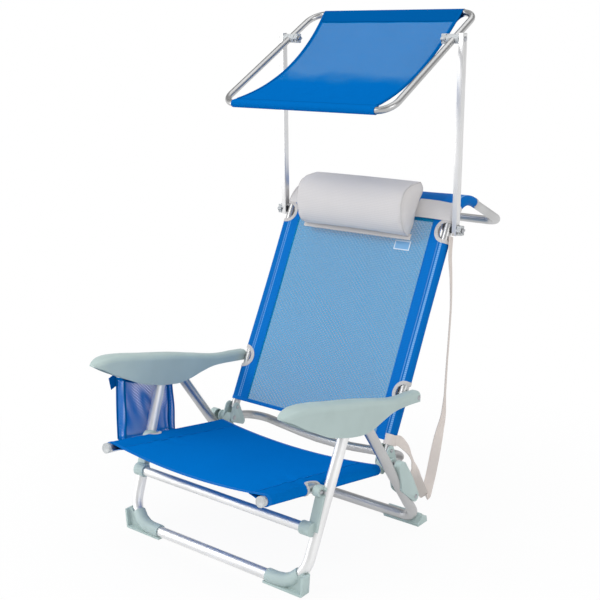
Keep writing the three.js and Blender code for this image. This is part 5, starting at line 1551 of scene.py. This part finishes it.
class BEACHCHAIR_OT_pillow(bpy.types.Operator):
    """Stuff the head pillow and sew its seams, its lower fin and its band"""

    bl_idname = "beach_chair.pillow"
    bl_label = "Head Pillow"

    def execute(self, context):
        front = [spot for spot, _ in walk(spline_through([(0, *p) for p in PILLOW_FRONT], 10), 40)]
        back = [spot for spot, _ in walk(spline_through([(0, *p) for p in PILLOW_BACK], 10), 24)]
        piece = self.stuff(front[:-1] + back[:-1])
        finish_piece(piece, "head_pillow_cover", "woven", "backrest", ["head_pillow"])
        self.add_seams(piece, front)
        self.add_band(context.scene.beach_chair_sizes)
        return {"FINISHED"}

    @staticmethod
    def stuff(section):
        """A closed D-shaped roll with flat ends, swollen by cloth simulation."""
        count = len(section)
        nothing_selected()
        bpy.ops.mesh.primitive_cylinder_add(vertices=count, radius=0.05, depth=0.3,
                                            end_fill_type="NGON")
        piece = bpy.context.object
        reach = PILLOW_HALF - 1.0
        rings = {True: [], False: []}
        for vertex in piece.data.vertices:
            rings[vertex.co.z > 0].append(vertex)
        for upper, ring in rings.items():
            ring.sort(key=lambda v: atan2(v.co.y, v.co.x))
            for vertex, p in zip(ring, section):
                vertex.co = at(reach if upper else -reach, p.y, p.z)
        alone(piece)
        bpy.ops.object.mode_set(mode="EDIT")
        for k in range(1, 16):
            bpy.ops.mesh.select_all(action="SELECT")
            bpy.ops.mesh.bisect(plane_co=at(reach * (k / 8 - 1), 0, 0), plane_no=(1, 0, 0))
        bpy.ops.object.mode_set(mode="OBJECT")
        face_outwards(piece)
        apply_modifier(piece, "REMESH", mode="VOXEL", voxel_size=0.004)
        alone(piece)
        home = [v.co.copy() for v in piece.data.vertices]
        cloth = piece.modifiers.new("Cloth", "CLOTH")
        cloth.settings.use_pressure = True
        cloth.settings.uniform_pressure_force = 4.0
        cloth.settings.effector_weights.gravity = 0.0
        cloth.settings.tension_stiffness = 15
        cloth.settings.compression_stiffness = 15
        scene = bpy.context.scene
        for number in range(1, 11):
            scene.frame_set(number)
        bpy.ops.object.modifier_apply(modifier=cloth.name)
        scene.frame_set(1)
        for vertex, start in zip(piece.data.vertices, home):
            move = vertex.co - start
            if move.length > PILLOW_SWELL:
                vertex.co = start + move.normalized() * PILLOW_SWELL
        apply_modifier(piece, "SMOOTH", factor=0.4, iterations=1)
        smooth(piece, 60)
        return piece

    @staticmethod
    def add_seams(cover, front):
        """The sewn seams round both ends, and the flat fin along the lower edge."""
        parts = []
        back = spline_through([(0, *p) for p in PILLOW_BACK], 6)
        for side in (-1, 1):
            ring = []
            for p in front + back[1:-1]:
                spot = cover.closest_point_on_mesh(at(side * PILLOW_HALF, p.y, p.z))[1]
                ring.append((spot - SHIFT) / MM)
            parts.append(bead(ring, 1.5, closed=True))
        low = front[0]

        def sew(u, v):
            drop = 7 - 15 * v
            x, y, z = (u - 0.5) * 2 * (PILLOW_HALF + 3), low.y + 2 + 0.45 * drop, low.z + 1 + 0.89 * drop
            return at(x, y, z), (u * 0.32, v * 0.012)

        parts.append(thicken(cloth_grid("fin", 60, 3, sew), 2.4 * MM, 50))
        finish_piece(join_pieces(parts), "pillow_seams", "tape", "backrest")

    @staticmethod
    def add_band(sizes):
        """The band that runs from the pillow's ends round both rails and across the back."""
        sling = back_sling(sizes)
        width, lift = 45.0, 2.0
        t = (BACK_BEND_Z - BACK_LOW_Z) / RAIL_RISE + 3 + width / 2
        half = sling.station(t)[0].x
        marks = [(PILLOW_HALF - 16, 8.0), (PILLOW_HALF + 8, 8.0), (half - 40, 6.0), (half - 14, lift)]
        marks += [(half + sling.wrap * k / 10, lift) for k in range(11)]
        rows = 7
        grid = []
        for s, l in marks:
            grid.append([sling.place(s, t + width * (k / (rows - 1) - 0.5), l) for k in range(rows)])
        behind = []
        for x in range(int(half) - 12, -int(half) + 11, -24):
            row = []
            for k in range(rows):
                spot, normal = sling.station(t + width * (k / (rows - 1) - 0.5))
                row.append(Vector((x, spot.y, spot.z)) - normal * (sling.radius + lift))
            behind.append(row)
        table = grid + behind + [[Vector(flip_point(p)) for p in row] for row in reversed(grid)]

        def place(u, v):
            i = min(round(v * (len(table) - 1)), len(table) - 1)
            j = min(round(u * (rows - 1)), rows - 1)
            return at(*table[i][j]), (j * width / rows * MM, i * 9 * MM)

        piece = thicken(cloth_grid("band", rows - 1, len(table) - 1, place), 1.4 * MM)
        finish_piece(piece, "pillow_band", "woven", "backrest", ["pillow_strap"])


# ---- Operators: pocket ----

POCKET_LOW = [(-333, 205), (-250, 190), (-172, 181)]  # the pocket's lower edge as (y, z)


class BEACHCHAIR_OT_pocket(bpy.types.Operator):
    """Hang the net pocket under the left armrest"""

    bl_idname = "beach_chair.pocket"
    bl_label = "Side Pocket"

    def execute(self, context):
        inner, outer, front, rear = -297.0, -330.0, -333.0, -172.0
        ring = [Vector((outer + 8, front, 0)), Vector((inner - 4, front, 0)), Vector((inner, front + 5, 0)),
                Vector((inner, rear - 5, 0)), Vector((inner - 4, rear, 0)), Vector((outer + 8, rear, 0)),
                Vector((outer, rear - 10, 0)), Vector((outer, front + 10, 0)), Vector((outer + 8, front, 0))]
        spots = walk(ring, 96)

        def hang(k, v, proud=0.0):
            spot, gone = spots[k]
            y = spot.y
            top, low = eased(ARM_LOW, y) - 1.2, eased(POCKET_LOW, y)
            bulge = 4 * v * (1 - v)
            inside = spot.x > (inner + outer) / 2
            fold = 2.6 * bulge * sin(y / 13.0 + 5 * v) * (1.0 if inside else 0.4)
            x = spot.x - (2.0 * bulge if not inside else -fold) + (proud if inside else -proud)
            lean = 9.0 * (1 - v) * (front + rear - 2 * y) / (front - rear) * 0.5
            return Vector((x, y + lean, low + (top - low) * v)), gone

        def place(u, v):
            spot, gone = hang(min(round(u * 96), 96), v)
            return at(*spot), (gone * MM, spot.z * MM)

        piece = cloth_grid("pocket", 96, 40, place)
        alone(piece)
        edit_all()
        bpy.ops.mesh.remove_doubles(threshold=0.00001)
        bpy.ops.object.mode_set(mode="OBJECT")
        middle = at(0, 0, 240).z
        fill_rim(piece, lambda ends: max(spot.z for spot in ends) < middle)
        thicken(piece, 0.9 * MM, offset=-1)
        finish_piece(piece, "side_pocket_net", "net", "arm_left", ["side_pocket"])
        tapes = [bead([hang(k, v / 20, 0.8)[0] for v in range(21)], 2.4) for k in (0, 6, 42, 48)]
        for level in (0.0, 0.985):
            tapes.append(bead([hang(k, level, 0.4)[0] for k in range(96)], 2.4, closed=True))
        tab = cloth_grid("tab", 6, 6, lambda u, v: (
            at(outer + 4 - 5 * u, front - 1 - 18 * u + 6 * v, 372 - 30 * v - 10 * u), (u * 0.02, v * 0.03)))
        apply_modifier(tab, "SOLIDIFY", thickness=1.6 * MM, offset=0)
        tapes.append(tab)
        finish_piece(join_pieces(tapes), "side_pocket_tapes", "hem", "arm_left")
        return {"FINISHED"}


class BEACHCHAIR_PT_panel(bpy.types.Panel):
    """Lists the pieces, sizes and colours of the chair"""

    bl_label = "Beach Chair"
    bl_idname = "BEACHCHAIR_PT_panel"
    bl_space_type = "VIEW_3D"
    bl_region_type = "UI"
    bl_category = "Beach Chair"

    def draw(self, context):
        for group in (context.scene.beach_chair_sizes, context.scene.beach_chair_colours):
            box = self.layout.box()
            for key in group.__annotations__:
                box.prop(group, key)
        for operator in OPERATORS:
            self.layout.operator(operator.bl_idname)


OPERATORS = (
    BEACHCHAIR_OT_stage, BEACHCHAIR_OT_carry_strap, BEACHCHAIR_OT_tubes, BEACHCHAIR_OT_fittings,
    BEACHCHAIR_OT_fasteners, BEACHCHAIR_OT_rail_caps, BEACHCHAIR_OT_armrests, BEACHCHAIR_OT_seat_cloth,
    BEACHCHAIR_OT_back_cloth, BEACHCHAIR_OT_canopy_cloth, BEACHCHAIR_OT_pillow, BEACHCHAIR_OT_pocket,
)
CLASSES = (BEACHCHAIR_PG_sizes, BEACHCHAIR_PG_colours) + OPERATORS + (BEACHCHAIR_PT_panel,)


def register():
    """Registers the classes and hangs the settings on the scene."""
    for item in CLASSES:
        bpy.utils.register_class(item)
    bpy.types.Scene.beach_chair_sizes = PointerProperty(type=BEACHCHAIR_PG_sizes)
    bpy.types.Scene.beach_chair_colours = PointerProperty(type=BEACHCHAIR_PG_colours)


def unregister():
    """Takes the settings and the classes away again."""
    del bpy.types.Scene.beach_chair_colours
    del bpy.types.Scene.beach_chair_sizes
    for item in reversed(CLASSES):
        bpy.utils.unregister_class(item)


def main():
    register()
    for operator in OPERATORS:
        group, name = operator.bl_idname.split(".")
        getattr(getattr(bpy.ops, group), name)()
    nothing_selected()


if __name__ == "__main__":
    main()
